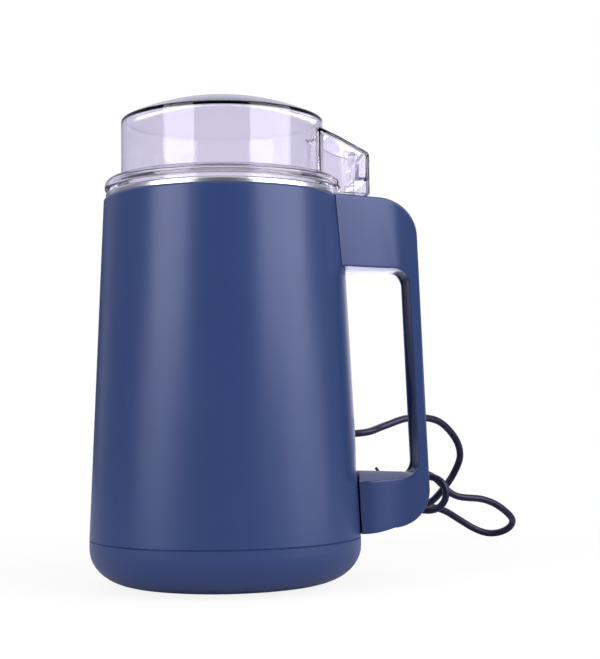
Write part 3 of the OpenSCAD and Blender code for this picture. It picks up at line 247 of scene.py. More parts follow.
def add_piece(piece, body, slot, *replaced):
    """Shades a new piece, and puts it on a body in place of nodes of the part."""
    piece.data.shade_smooth()
    piece.data.set_sharp_from_angle(angle=SHARP_ANGLE)
    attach(piece, body)
    if replaced:
        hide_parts(*replaced)
    return piece


def join_rings(bm, rings, closed=False):
    """Skin over rings of points, capped at both ends unless the last ring meets the first."""
    rows = [[bm.verts.new(p) for p in ring] for ring in rings]
    pairs = list(zip(rows, rows[1:]))
    if closed:
        pairs.append((rows[-1], rows[0]))
    for low, high in pairs:
        for k in range(len(low)):
            after = (k + 1) % len(low)
            bm.faces.new((low[k], low[after], high[after], high[k]))
    if not closed:
        bm.faces.new(rows[0][::-1])
        bm.faces.new(rows[-1])


def sweep(bm, path, wide, thick, up, closed=False, sides=10):
    """Flat or round strand along a path, its wide side along up."""
    path = [Vector(p) for p in path]
    up = Vector(up)
    last = len(path) - 1
    ways = [2 * math.pi * k / sides for k in range(sides)]
    rings = []
    for i, place in enumerate(path):
        ahead = path[(i + 1) % len(path)] if closed else path[min(i + 1, last)]
        behind = path[i - 1] if closed or i else path[0]
        heading = (ahead - behind).normalized()
        side = heading.cross(up).normalized()
        across = side.cross(heading)
        rings.append([
            place + across * wide / 2 * math.cos(way) + side * thick / 2 * math.sin(way)
            for way in ways
        ])
    join_rings(bm, rings, closed)


# Handle, in millimetres, as in the part's source, with a thicker grip
SEAM_R = 55
SEAM_Z = 19
BODY_TAPER = 6.2 / 138
HANDLE_TOP_Z = 157
ARM_UNDER_Z = 127.8
LOW_TOP_Z = 42
LOW_Z = 21.9
LOW_FALL = 2
OUT_TOP_X = 79.4
OUT_LOW_X = 83
TOP_CORNER = 16
LOW_CORNER = 15
GAP_CORNER = 6.5
GRIP_HALF = 9.5
GRIP_T = 4.2
HANDLE_WALL = 2
GRIP_SKIN = 0.6
ROOT_X = 42.8
UPPER_FLARE = 0.53
UPPER_DRAFT = 0.07
FLARE_SETBACK = 1.6
LOWER_SWELL = 3.8
LOWER_SWELL_X = 73
LOWER_SWELL_RUN = 16.4
CROWN_TOP = 0.3
HOLLOW = -2.3
CROWN_LOW = 2.3
CROWN_ROOT = 4
EDGE_ROUND = 1.0
INNER_ROUND = 0.5
# Fine bevel at the shell's lips, and points that keep its sides flat: depths from the parting line
LIP_BEVEL = ((0, 0.45), (0.15, 0.13))
FLAT_DEPTHS = (0.5, 0.9)
# Inner cover: its gap to the shell, its tongue, and how full its crown and its hollow are
COVER_GAP = 0.2
COVER_TONGUE = 0.6
COVER_T = 0.35
COVER_STEPS = 28
CROWN_POWER = 1.35
HOLLOW_POWER = 2.5
TOP_CENTRE = Vector((OUT_TOP_X - TOP_CORNER, HANDLE_TOP_Z - TOP_CORNER))
LOW_CENTRE = Vector((OUT_LOW_X - LOW_CORNER, LOW_Z + LOW_CORNER))
# Seams that show between the handle and the body, and the bore of the push rod
UPPER_SEAM = 0.25
LOWER_SEAM = 0.8
BORE_X = 53.8
BORE_R = 2.55
BORE_LOW_Z = HANDLE_TOP_Z - 4
BORE_HIGH_Z = HANDLE_TOP_Z + 2
ROD_SEGMENTS = 96
ARM_STEPS = 14
CORNER_STEPS = 18
GRIP_STEPS = 14
LOWER_REACH = 1.12
LANDING_ROUNDS = 30


def body_radius(z):
    """Outside of the tapered body at a height."""
    return SEAM_R - BODY_TAPER * (z - SEAM_Z)


def grip_x(z):
    """Outside of the leaning grip at a height."""
    return mix(OUT_TOP_X, OUT_LOW_X, (TOP_CENTRE.y - z) / (TOP_CENTRE.y - LOW_CENTRE.y))


def gap_centre(z):
    """Centre of a corner of the finger gap at a height."""
    return Vector((grip_x(z) - GRIP_T - GAP_CORNER, z))


GAP_TOP = gap_centre(ARM_UNDER_Z - GAP_CORNER)
GAP_LOW = gap_centre(LOW_TOP_Z + GAP_CORNER)
FLARE_X = GAP_TOP.x - FLARE_SETBACK


def soft(d):
    """Rises smoothly from nothing to d."""
    return (d + math.sqrt(d * d + 4)) / 2


def half_width(p):
    """Half of the handle's width at a point of its side view."""
    flare = UPPER_FLARE - UPPER_DRAFT * (HANDLE_TOP_Z - p.y) / (HANDLE_TOP_Z - ARM_UNDER_Z)
    upper = soft((FLARE_X - p.x) * flare) - soft((FLARE_X - OUT_TOP_X) * UPPER_FLARE)
    lower = LOWER_SWELL * ease((LOWER_SWELL_X - p.x) / LOWER_SWELL_RUN)
    return GRIP_HALF + mix(lower, upper, ease((p.y - LOW_TOP_Z) / (ARM_UNDER_Z - LOW_TOP_Z)))


def spoke(degrees):
    """Unit vector at an angle in the side view."""
    return Vector((math.cos(math.radians(degrees)), math.sin(math.radians(degrees))))


def upper_arm(s):
    """Outer point, parting point and crown of the upper arm, from inside the body to its corner."""
    outer = Vector((mix(ROOT_X, TOP_CENTRE.x, s), HANDLE_TOP_Z))
    parting = Vector((mix(ROOT_X, GAP_TOP.x, s), ARM_UNDER_Z))
    return outer, parting, CROWN_TOP


def lower_arm(s):
    """Outer point, parting point and crown of the lower arm, from inside the body to its corner."""
    run = LOWER_REACH * (1 - s)
    end_z = LOW_Z - LOW_FALL
    outer_x = mix(LOW_CENTRE.x, body_radius(end_z), run)
    parting_x = mix(GAP_LOW.x, body_radius(LOW_TOP_Z - 1), run)
    outer = Vector((outer_x, mix(LOW_Z, end_z, run * (2 - run))))
    return outer, Vector((parting_x, LOW_TOP_Z - run)), mix(CROWN_LOW, CROWN_ROOT, run)


def grip_stations():
    """Stations round the upper corner, down the grip and round the lower corner."""
    stations = []
    for i in range(1, CORNER_STEPS + 1):
        s = i / CORNER_STEPS
        way = spoke(90 - 90 * s)
        crown = mix(CROWN_TOP, HOLLOW, ease(s))
        stations.append((TOP_CENTRE + TOP_CORNER * way, GAP_TOP + GAP_CORNER * way, crown))
    side = Vector((1, 0))
    for i in range(1, GRIP_STEPS):
        s = i / GRIP_STEPS
        outer = mix(TOP_CENTRE + TOP_CORNER * side, LOW_CENTRE + LOW_CORNER * side, s)
        parting = mix(GAP_TOP + GAP_CORNER * side, GAP_LOW + GAP_CORNER * side, s)
        stations.append((outer, parting, HOLLOW))
    for i in range(CORNER_STEPS):
        s = i / CORNER_STEPS
        way = spoke(-90 * s)
        crown = mix(HOLLOW, CROWN_LOW, ease(s))
        stations.append((LOW_CENTRE + LOW_CORNER * way, GAP_LOW + GAP_CORNER * way, crown))
    return stations


def at_depth(station, depth, y):
    """Point of a section: depth runs from the outer point to the parting point, y across."""
    outer, parting, _ = station
    p = outer + (parting - outer).normalized() * depth
    return Vector((p.x, y, p.y))


def width_at(station, depth):
    """Half width of a section at a depth."""
    outer, parting, _ = station
    return mix(half_width(outer), half_width(parting), depth / (parting - outer).length)


def shell_section(station):
    """Channel section of the outer shell, with rounded edges and a fine bevel at its lips."""
    length = (station[1] - station[0]).length
    edge = half_width(station[1])
    outside = [(length - back, edge - inset) for back, inset in LIP_BEVEL]
    for depth in (*(length - back for back in FLAT_DEPTHS), EDGE_ROUND + FLAT_DEPTHS[0]):
        outside.append((depth, width_at(station, depth)))
    for a in range(0, 91, 15):
        centre = width_at(station, EDGE_ROUND) - EDGE_ROUND
        depth = EDGE_ROUND * (1 - math.sin(math.radians(a)))
        outside.append((depth, centre + EDGE_ROUND * math.cos(math.radians(a))))
    inside = [(length, edge - HANDLE_WALL)]
    for a in range(0, 91, 45):
        centre = width_at(station, GRIP_SKIN + INNER_ROUND) - HANDLE_WALL - INNER_ROUND
        depth = GRIP_SKIN + INNER_ROUND * (1 - math.sin(math.radians(a)))
        inside.append((depth, centre + INNER_ROUND * math.cos(math.radians(a))))
    half = outside + [(depth, -y) for depth, y in reversed(outside)]
    hollow = [(depth, -y) for depth, y in inside] + list(reversed(inside))
    return [at_depth(station, depth, y) for depth, y in half + hollow]


def cover_section(station):
    """Section of the inner cover: crowned arms, a hollow grip and a tongue inside the shell."""
    length = (station[1] - station[0]).length
    edge = half_width(station[1]) - COVER_GAP
    tongue = edge - HANDLE_WALL - COVER_GAP
    power = CROWN_POWER if station[2] > 0 else HOLLOW_POWER
    points = []
    for i in range(COVER_STEPS + 1):
        across = math.cos(math.pi * i / COVER_STEPS)
        points.append((length + station[2] * (1 - abs(across) ** power), edge * across))
    front = length - COVER_GAP
    back = length - max(COVER_TONGUE, COVER_T - station[2])
    points += [(front, -tongue), (back, -tongue), (back, tongue), (front, tongue)]
    return [at_depth(station, depth, y) for depth, y in points]


def landing(arm, section, k, seam):
    """Share of an arm's run at which one line of its skin comes out of the body and its seam."""
    inside, outside = 0.0, 1.0
    for _ in range(LANDING_ROUNDS):
        middle = (inside + outside) / 2
        p = section(arm(middle))[k]
        if math.hypot(p.x, p.y) < body_radius(p.z) + seam:
            inside = middle
        else:
            outside = middle
    return outside


def arm_rings(arm, section, seam):
    """Rings of an arm from its root, which follows the body's round side, to its corner."""
    count = len(section(arm(1)))
    roots = [landing(arm, section, k, seam) for k in range(count)]
    return [
        [section(arm(mix(root, 1, i / ARM_STEPS)))[k] for k, root in enumerate(roots)]
        for i in range(ARM_STEPS + 1)
    ]


def handle_skin(section):
    """Maker of one handle piece, from the upper arm's root round the grip to the lower arm's root."""
    def make(bm):
        rings = arm_rings(upper_arm, section, UPPER_SEAM)
        rings += [section(station) for station in grip_stations()]
        rings += arm_rings(lower_arm, section, LOWER_SEAM)[::-1]
        join_rings(bm, rings)
    return make


def upright_rod(x, radius, low, high):
    """Maker of an upright round rod."""
    def fill(bm):
        place = Matrix.Translation((x, 0, (low + high) / 2))
        bmesh.ops.create_cone(
            bm, cap_ends=True, segments=ROD_SEGMENTS, radius1=radius, radius2=radius,
            depth=high - low, matrix=place)
    return fill


def build_handle():
    """The handle's two mouldings: the outer shell, bored for the push rod, and the inner cover."""
    shell = form("handle_shell_skin", handle_skin(shell_section))
    combine(shell, upright_rod(BORE_X, BORE_R, BORE_LOW_Z, BORE_HIGH_Z), "DIFFERENCE")
    cover = form("handle_cover_skin", handle_skin(cover_section))
    return (
        add_piece(shell, "housing", "navy_plastic", "handle_shell"),
        add_piece(cover, "housing", "navy_plastic", "handle_inner_cover"),
    )


# Lid, in millimetres: the source's outline, with a tighter rim, thinner walls, a hollow flange and ribs
LID_R = 41.7
LID_WALL = 2.2
RIM_ROUND = 1.0
APEX_Z = 198.9
DOME_R = 95.5
ROOF_WALL = 1.9
DOME_CENTRE_Z = APEX_Z - DOME_R
FLANGE_R = 48.4
FLANGE_Z = 160.4
FLANGE_TOP_Z = 164.8
FLANGE_WALL = 1.8
FLANGE_ROUND = 3
FLANGE_LIP_ROUND = 0.6
WALL_FILLET = 0.8
INNER_CORNER = 0.9
SKIRT_Z = 154.4
TAB_X = 59.3
TAB_HALF = 17
TAB_END_HALF = 14
TAB_WALL = 1.7
TAB_CORNER = 1.6
TAB_CORNER_LOSS = 0.8
TAB_ROOT_X = LID_R - 4
TAB_SIDE_X = FLANGE_R - 2
TAB_BOTTOM_Z = 158.2
ROOF_Z = 183.4
ROOF_FALL = 0.477
PRESSER_Z = 159.2
LEDGE_X = 53
LEDGE_END_X = TAB_X - 0.5
LEDGE_HALF = 14
LEDGE_LIP = 7
RIB_T = 1.6
RIB_HALF_X = 3.2
RIB_HALF_Y = 4.5
RIB_BELOW_ROOF = 1
ROOF_ROUND = 1.2
ROOF_INSET_FALL = 0.7
# Cutters: how far they reach past what they cut, and how far the tab runs into the flange
CUT_OVER = 1
CUTTER_LOW_Z = FLANGE_Z - 20
FLANGE_OVERLAP = 0.2


def bend(centre, radius, start, end, steps):
    """Points of an arc in a side view, between two angles in degrees."""
    return [Vector(centre) + radius * spoke(mix(start, end, i / steps)) for i in range(steps + 1)]


def dome_and_wall(dome_r, wall_r, corner):
    """Side view of the dome from its middle to the top of the wall, with a round corner."""
    corner_r = wall_r - corner
    corner_z = DOME_CENTRE_Z + math.sqrt((dome_r - corner) ** 2 - corner_r ** 2)
    meet = math.degrees(math.atan2(corner_z - DOME_CENTRE_Z, corner_r))
    dome = bend((0, DOME_CENTRE_Z), dome_r, 90, meet, 20)
    return dome + bend((corner_r, corner_z), corner, meet, 0, 8)[1:]


def turned(bm, profile, segments=160):
    """Skin of a profile turned round the axis, on which it starts and ends."""
    ways = [2 * math.pi * i / segments for i in range(segments)]
    rows = []
    for p in profile:
        if abs(p.x) < 0.001:
            rows.append([bm.verts.new((0, 0, p.y))])
        else:
            rows.append([bm.verts.new((p.x * math.cos(a), p.x * math.sin(a), p.y)) for a in ways])
    for low, high in zip(rows, rows[1:]):
        for i in range(segments):
            after = (i + 1) % segments
            steps = ((low, i), (low, after), (high, after), (high, i))
            corners = [row[k % len(row)] for row, k in steps]
            bm.faces.new(list(dict.fromkeys(corners)))


def lid_turning(bm):
    """Dome, wall, flange and skirt of the lid."""
    inner_r = LID_R - LID_WALL
    outside = dome_and_wall(DOME_R, LID_R, RIM_ROUND)
    outside += bend((LID_R + WALL_FILLET, FLANGE_TOP_Z + WALL_FILLET), WALL_FILLET, 180, 270, 5)
    shoulder = (FLANGE_R - FLANGE_ROUND, FLANGE_TOP_Z - FLANGE_ROUND)
    outside += bend(shoulder, FLANGE_ROUND, 90, 0, 12)
    lip = (FLANGE_R - FLANGE_LIP_ROUND, FLANGE_Z + FLANGE_LIP_ROUND)
    outside += bend(lip, FLANGE_LIP_ROUND, 0, -90, 5)
    under = [Vector((FLANGE_R - FLANGE_WALL, FLANGE_Z))]
    under += bend(shoulder, FLANGE_ROUND - FLANGE_WALL, 0, 90, 8)
    root_z = FLANGE_TOP_Z - FLANGE_WALL - WALL_FILLET
    under += bend((LID_R + WALL_FILLET, root_z), WALL_FILLET, 90, 180, 5)
    under += [Vector((LID_R, SKIRT_Z)), Vector((inner_r, SKIRT_Z))]
    inside = dome_and_wall(DOME_R - ROOF_WALL, inner_r, INNER_CORNER)[::-1]
    turned(bm, outside + under + inside)


def roof_z(x):
    """Top of the tab's sloping roof."""
    return ROOF_Z - ROOF_FALL * (x - LID_R)


def hull(bm, points):
    """Skin stretched over points."""
    for p in points:
        bm.verts.new(p)
    made = bmesh.ops.convex_hull(bm, input=bm.verts)
    spare = {g for g in made["geom_interior"] + made["geom_unused"] if isinstance(g, bmesh.types.BMVert)}
    bmesh.ops.delete(bm, geom=list(spare), context="VERTS")
    bmesh.ops.dissolve_limit(bm, angle_limit=math.radians(1), verts=bm.verts, edges=bm.edges)


def tab_outline(inset):
    """Plan of the tab: wide at the body, narrower at its outer edge, with round corners."""
    corner = TAB_CORNER - min(inset, TAB_CORNER_LOSS)
    end = bend((TAB_X - inset - corner, TAB_END_HALF - inset - corner), corner, 75, 0, 6)
    side = [Vector((x, TAB_HALF - inset)) for x in (TAB_ROOT_X, TAB_SIDE_X)] + end
    return side + [Vector((p.x, -p.y)) for p in reversed(side)]


def tab_block(inset, bottom_z):
    """Maker of the tab's outside, or of its hollow when it is set in."""
    def fill(bm):
        points = [(p.x, p.y, bottom_z) for p in tab_outline(inset)]
        for a in range(0, 91, 15):
            drop = ROOF_ROUND * (1 - math.sin(math.radians(a))) + ROOF_INSET_FALL * inset
            for p in tab_outline(inset + ROOF_ROUND * (1 - math.cos(math.radians(a)))):
                points.append((p.x, p.y, roof_z(p.x) - drop))
        hull(bm, points)
    return fill


def plate(low, high, under_roof=False):
    """Maker of a flat rib between two corners; under the roof, its top slopes to end inside it."""
    def fill(bm):
        points = [(x, y, low[2]) for x in (low[0], high[0]) for y in (low[1], high[1])]
        points += [(x, y, roof_z(x) - RIB_BELOW_ROOF if under_roof else high[2]) for x, y, _ in points]
        hull(bm, points)
    return fill


def build_lid():
    """Clear lid: turned dome and wall, with the hollow tab over the handle and the ribs inside it."""
    tab = tab_block(0, TAB_BOTTOM_Z)
    lid = form("clear_lid_skin", tab)
    combine(lid, tab_block(TAB_WALL, TAB_BOTTOM_Z - CUT_OVER), "DIFFERENCE")
    combine(lid, upright_rod(0, FLANGE_R - FLANGE_OVERLAP, CUTTER_LOW_Z, FLANGE_Z), "DIFFERENCE")
    combine(lid, upright_rod(0, LID_R - LID_WALL / 2, CUTTER_LOW_Z, APEX_Z), "DIFFERENCE")
    half = RIB_T / 2
    ledge_z = FLANGE_TOP_Z - RIB_T
    ledge = (LEDGE_X, -LEDGE_HALF, ledge_z)
    ribs = [
        plate((BORE_X - RIB_HALF_X, -half, PRESSER_Z), (BORE_X + RIB_HALF_X, half, 0), True),
        plate((BORE_X - half, -RIB_HALF_Y, PRESSER_Z), (BORE_X + half, RIB_HALF_Y, 0), True),
        plate(ledge, (LEDGE_END_X, LEDGE_HALF, FLANGE_TOP_Z)),
        plate(ledge, (LEDGE_X + RIB_T, LEDGE_HALF, ledge_z + LEDGE_LIP)),
    ]
    for added in (*ribs, lid_turning):
        combine(lid, added, "UNION")
    return add_piece(lid, "lid", "clear_plastic", "lid")


# Twist ties, in millimetres: one round the coil, where the part's source has its tie, one on the curl
TIE_CORNER = 2.4
COIL_TIE_HALF = (7.08, 4.45)
COIL_TIE_BAND = (3.2, 0.7)
COIL_TIE_AT = (COIL_AT[0] - 18.28, COIL_AT[1], 4.8)
COIL_TIE_TOP = (COIL_TIE_AT[0], COIL_TIE_AT[1], 9.3)
COIL_TIE_TIP = (COIL_TIE_AT[0] - 5, COIL_TIE_AT[1] + 11, 10.2)
CURL_TIE_HALF = (5.2, 2.5)
CURL_TIE_BAND = (2.4, 0.6)
CURL_TIE_AT = (98.8, 139.2, 27)
CURL_TIE_ALONG = (0.87, -0.48, 0)
CURL_TIE_ACROSS = (0.48, 0.87, 0)
CURL_TIE_TIP = (85.8, 138.8, 39.4)
# Twisted ends of a tie: thickness, distance from their middle, and where they stop twisting and spread
TAIL_T = 0.9
TAIL_GAP = 0.4 * TAIL_T
TAIL_STEPS = 32
TWIST_UNTIL = 0.8
SPREAD_FROM = 0.75
SPREAD_POWER = 1.3


def rounded_loop(half_wide, half_high, corner, steps=6):
    """Points of a rectangle with round corners, in its own plane."""
    points = []
    for turn, (sx, sy) in enumerate(((1, 1), (-1, 1), (-1, -1), (1, -1))):
        for k in range(steps + 1):
            way = spoke(90 * turn + 90 * k / steps)
            x = sx * (half_wide - corner) + corner * way.x
            y = sy * (half_high - corner) + corner * way.y
            points.append((x, y))
    return points


def twisted_tails(bm, root, tip, split, turns):
    """Two ends of a tie, twisted round each other from a root and spread at the tip."""
    root, tip = Vector(root), Vector(tip)
    along = tip - root
    side = along.cross(Vector((0, 1, 0.2))).normalized()
    across = along.cross(side).normalized()
    for start in (0, math.pi):
        path = []
        for k in range(TAIL_STEPS + 1):
            s = k / TAIL_STEPS
            way = start + 2 * math.pi * turns * min(s, TWIST_UNTIL)
            spread = TAIL_GAP + split * max(0, s - SPREAD_FROM) ** SPREAD_POWER
            path.append(root + along * s + (side * math.cos(way) + across * math.sin(way)) * spread)
        sweep(bm, path, TAIL_T, TAIL_T * 0.9, (0.3, 1, 0.1), sides=8)


def coil_tie(bm):
    """Tie round the turns of the coil, its twisted ends on top."""
    loop = rounded_loop(*COIL_TIE_HALF, TIE_CORNER)
    middle_x, middle_y, middle_z = COIL_TIE_AT
    path = [(middle_x + x, middle_y, middle_z + z) for x, z in loop]
    sweep(bm, path, *COIL_TIE_BAND, (0, 1, 0), closed=True)
    twisted_tails(bm, COIL_TIE_TOP, COIL_TIE_TIP, split=5, turns=3)


def curl_tie(bm):
    """Tie round the two turns of the curl behind the handle, with one pair of ends that stands up."""
    loop = rounded_loop(*CURL_TIE_HALF, TIE_CORNER)
    along = Vector(CURL_TIE_ALONG)
    across = Vector(CURL_TIE_ACROSS)
    middle = Vector(CURL_TIE_AT)
    path = [middle + along * x + across * y for x, y in loop]
    sweep(bm, path, *CURL_TIE_BAND, (0, 0, 1), closed=True)
    twisted_tails(bm, middle - along * CURL_TIE_HALF[0], CURL_TIE_TIP, split=0, turns=2.5)


# Spring under the push rod, in millimetres, as in the part's source
SPRING_Z = 147.25
SPRING_H = 6
SPRING_R = 2.7
SPRING_WIRE = 0.8
SPRING_TURNS = 4
SPRING_STEPS = 24


def spring_wire(bm):
    """Wire of the push rod's spring."""
    steps = SPRING_TURNS * SPRING_STEPS
    path = []
    for i in range(steps + 1):
        turn = 2 * math.pi * SPRING_TURNS * i / steps
        height = SPRING_Z + mix(SPRING_WIRE / 2, SPRING_H - SPRING_WIRE / 2, i / steps)
        path.append((BORE_X + SPRING_R * math.cos(turn), SPRING_R * math.sin(turn), height))
    sweep(bm, path, SPRING_WIRE, SPRING_WIRE, (0, 0, 1))


def build_spring():
    """Spring under the push rod, on the housing, with a mesh of its own."""
    spring = add_piece(form("push_rod_spring", spring_wire), "housing", "zinc_steel", "plunger_spring")
    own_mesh(spring)
    return spring


place_camera()
coil_tie_piece = add_piece(form("coil_twist_tie", coil_tie), "housing", "black_plastic", "cord_tie")
curl_tie_piece = add_piece(form("curl_twist_tie", curl_tie), "housing", "black_plastic")
lead = lay_cord()
handle_shell_piece, handle_cover_piece = build_handle()
lid_piece = build_lid()
spring_piece = build_spring()

# Scale at which a band of the wave texture is about one unit wide
BAND_SCALE = 0.31


class Value:
    """An output of a material's nodes; arithmetic on it adds Math nodes."""

    def __init__(self, graph, socket):
        self.graph = graph
        self.socket = socket

    def math(self, operation, *values):
        """One Math node on numbers or values."""
        return self.graph.node("ShaderNodeMath", {"operation": operation}, dict(enumerate(values)))

    def larger(self, other):
        """The larger of this value and another."""
        return self.math("MAXIMUM", self, other)

    def __abs__(self):
        return self.math("ABSOLUTE", self)

    def __add__(self, other):
        return self.math("ADD", self, other)

    def __sub__(self, other):
        return self.math("SUBTRACT", self, other)

    def __rsub__(self, other):
        return self.math("SUBTRACT", other, self)

    def __mul__(self, other):
        return self.math("MULTIPLY", self, other)

    __radd__ = __add__
    __rmul__ = __mul__


class Graph:
    """Shader nodes of a material or of the world."""

    def __init__(self, tree):
        self.tree = tree
        self.tree.nodes.clear()

    def node(self, kind, settings=(), inputs=(), out=0):
        """Adds a node: its settings first, then the values or links of its sockets."""
        made = self.tree.nodes.new(kind)
        for key, value in dict(settings).items():
            if key == "stops":
                self.set_stops(made.color_ramp, value)
            else:
                setattr(made, key, value)
        for key, value in dict(inputs).items():
            if isinstance(value, Value):
                self.tree.links.new(value.socket, made.inputs[key])
            else:
                made.inputs[key].default_value = value
        return Value(self, made.outputs[out]) if made.outputs else None

    def set_stops(self, ramp, stops):
        """Gives a ramp its grey stops."""
        while len(ramp.elements) < len(stops):
            ramp.elements.new(0.5)
        for element, (position, shade) in zip(ramp.elements, stops):
            element.position = position
            element.color = (shade, shade, shade, 1)

    def ray(self, kind):
        """1 for rays of a kind, such as Camera, and 0 for others."""
        return self.node("ShaderNodeLightPath", out=f"Is {kind} Ray")

    def along(self, axis, vector):
        """One part of a vector, along X, Y or Z."""
        return self.node("ShaderNodeSeparateXYZ", {}, {0: vector}, out=axis)

    def between(self, value, low, high, at_low, at_high):
        """Smooth step from one level to another as a value runs from low to high."""
        levels = {0: value, 1: low, 2: high, 3: at_low, 4: at_high}
        return self.node("ShaderNodeMapRange", {"interpolation_type": "SMOOTHSTEP"}, levels)

    def blend(self, factor, a, b):
        """Number between two, which may be values."""
        return self.node("ShaderNodeMix", {"data_type": "FLOAT"}, {0: factor, 2: a, 3: b})

    def mix(self, factor, a, b):
        """Colour between two."""
        ends = {0: factor, 6: (*a, 1), 7: (*b, 1)}
        return self.node("ShaderNodeMix", {"data_type": "RGBA"}, ends, out=2)


class Finish(Graph):
    """One material and its nodes."""

    def __init__(self, name):
        self.material = bpy.data.materials.new(name)
        self.material.use_nodes = True
        super().__init__(self.material.node_tree)
        self.place = self.node("ShaderNodeTexCoord", out="Object")

    def stretched(self, scale):
        """Place on the object, scaled along its axes."""
        return self.node("ShaderNodeVectorMath", {"operation": "MULTIPLY"}, {0: self.place, 1: scale})

    def noise(self, size, detail=2, rough=0.5, stretch=(1, 1, 1)):
        """Noise from 0 to 1 whose lumps are about this many millimetres across."""
        scaled = self.stretched(tuple(s * 1000 / size for s in stretch))
        inputs = {"Vector": scaled, "Scale": 1, "Detail": detail, "Roughness": rough}
        return self.node("ShaderNodeTexNoise", {}, inputs)

    def waves(self, size, distortion):
        """Bands round the axis, one for each of so many millimetres."""
        scaled = self.stretched((1000 / size,) * 3)
        inputs = {"Vector": scaled, "Scale": BAND_SCALE, "Distortion": distortion}
        return self.node("ShaderNodeTexWave", {"bands_direction": "Z"}, inputs)

    def ramp(self, value, *stops):
        """Value put through a ramp of grey stops."""
        return self.node("ShaderNodeValToRGB", {"stops": stops}, {0: value})

    def bump(self, height, strength, depth):
        """Normal bumped by a height, to a depth in millimetres."""
        inputs = {"Height": height, "Strength": strength, "Distance": depth * MM}
        return self.node("ShaderNodeBump", {}, inputs)

    def surface(self, **sockets):
        """Principled surface from named sockets, such as base_color."""
        inputs = {}
        for name, value in sockets.items():
            socket = name.replace("_", " ").title().replace("Ior", "IOR")
            inputs[socket] = (*value, 1) if isinstance(value, tuple) else value
        return self.node("ShaderNodeBsdfPrincipled", {}, inputs)

    def done(self, shader, inside=None):
        """Links the shader, and what fills the inside, and gives back the material."""
        ends = {"Surface": shader, "Volume": inside} if inside else {"Surface": shader}
        self.node("ShaderNodeOutputMaterial", {}, ends)
        return self.material


def moulded_plastic(name, dark, light, rough, sheen_tint=(1, 1, 1)):
    """Satin moulded plastic: faint cloudiness in its colour, a fine grain and patches of wear."""
    f = Finish(name)
    rubbed = f.ramp(f.noise(36, 3, 0.5), (0.3, 0), (0.8, 1))
    return f.done(f.surface(
        base_color=f.mix(f.noise(42, 3), dark, light), roughness=rough + rubbed * 0.03,
        normal=f.bump(f.noise(0.35, 2), 0.12, 0.04), specular_tint=sheen_tint))


def clear_plastic(name, skin, tint, density, rough, sheen_tint):
    """Clear plastic, smoked all through, with fine rub marks; its shadow lets light through."""
    f = Finish(name)
    rub = f.ramp(f.noise(9, 4, 0.65, (1, 1, 0.25)), (0.45, 0), (0.8, 1))
    glass = f.surface(
        base_color=skin, roughness=rough + rub * 0.03, transmission_weight=1.0, ior=1.46,
        specular_tint=sheen_tint)
    through_light = f.node("ShaderNodeBsdfTransparent", {}, {"Color": (*tint, 1)})
    smoke = f.node("ShaderNodeVolumeAbsorption", {}, {"Color": (*tint, 1), "Density": density})
    ends = {0: f.ray("Shadow"), 1: glass, 2: through_light}
    return f.done(f.node("ShaderNodeMixShader", {}, ends), smoke)


def drawn_steel(name, shade, rough, stretch=(1, 1, 14)):
    """Steel with fine drawn lines round the axis."""
    f = Finish(name)
    lines = f.noise(2.2, 3, 0.6, stretch)
    colour = f.mix(f.noise(30, 2), tuple(c * 0.92 for c in shade), shade)
    return f.done(f.surface(
        base_color=colour, metallic=1.0, roughness=rough + lines * 0.1,
        normal=f.bump(lines, 0.08, 0.02)))


def cast_metal(name, shade, rough):
    """Cast or turned metal with a fine uneven skin."""
    f = Finish(name)
    patch = f.noise(14, 2)
    colour = f.mix(patch, tuple(c * 0.85 for c in shade), shade)
    return f.done(f.surface(
        base_color=colour, metallic=1.0, roughness=rough + patch * 0.12,
        normal=f.bump(f.noise(0.9, 3, 0.6), 0.2, 0.05)))


def soft_rubber(name, dark, light, rough, sheen_tint=(1, 1, 1)):
    """Rubber: a dull skin with dust in its texture."""
    f = Finish(name)
    dust = f.noise(11, 4, 0.6)
    return f.done(f.surface(
        base_color=f.mix(dust, dark, light), roughness=rough + dust * 0.12,
        normal=f.bump(f.noise(0.5, 2), 0.15, 0.06), specular_tint=sheen_tint))


def wound_wire(name, shade):
    """Enamelled wire wound in fine rows, its colour darker in the grooves between turns as painted
    shade.
    """
    f = Finish(name)
    rows = f.waves(0.6, 1.2)
    return f.done(f.surface(
        # Colour darker where the rows dip: painted shade in the grooves between turns
        base_color=f.mix(rows, tuple(c * 0.45 for c in shade), shade), metallic=0.8,
        roughness=0.42 - rows * 0.1, normal=f.bump(rows, 0.5, 0.3)))


def stacked_sheets(name, shade):
    """Punched sheets of steel, one on the other."""
    f = Finish(name)
    rows = f.waves(0.5, 0.3)
    return f.done(f.surface(
        base_color=f.mix(rows, tuple(c * 0.55 for c in shade), shade), metallic=0.9, roughness=0.45,
        normal=f.bump(rows, 0.3, 0.15)))


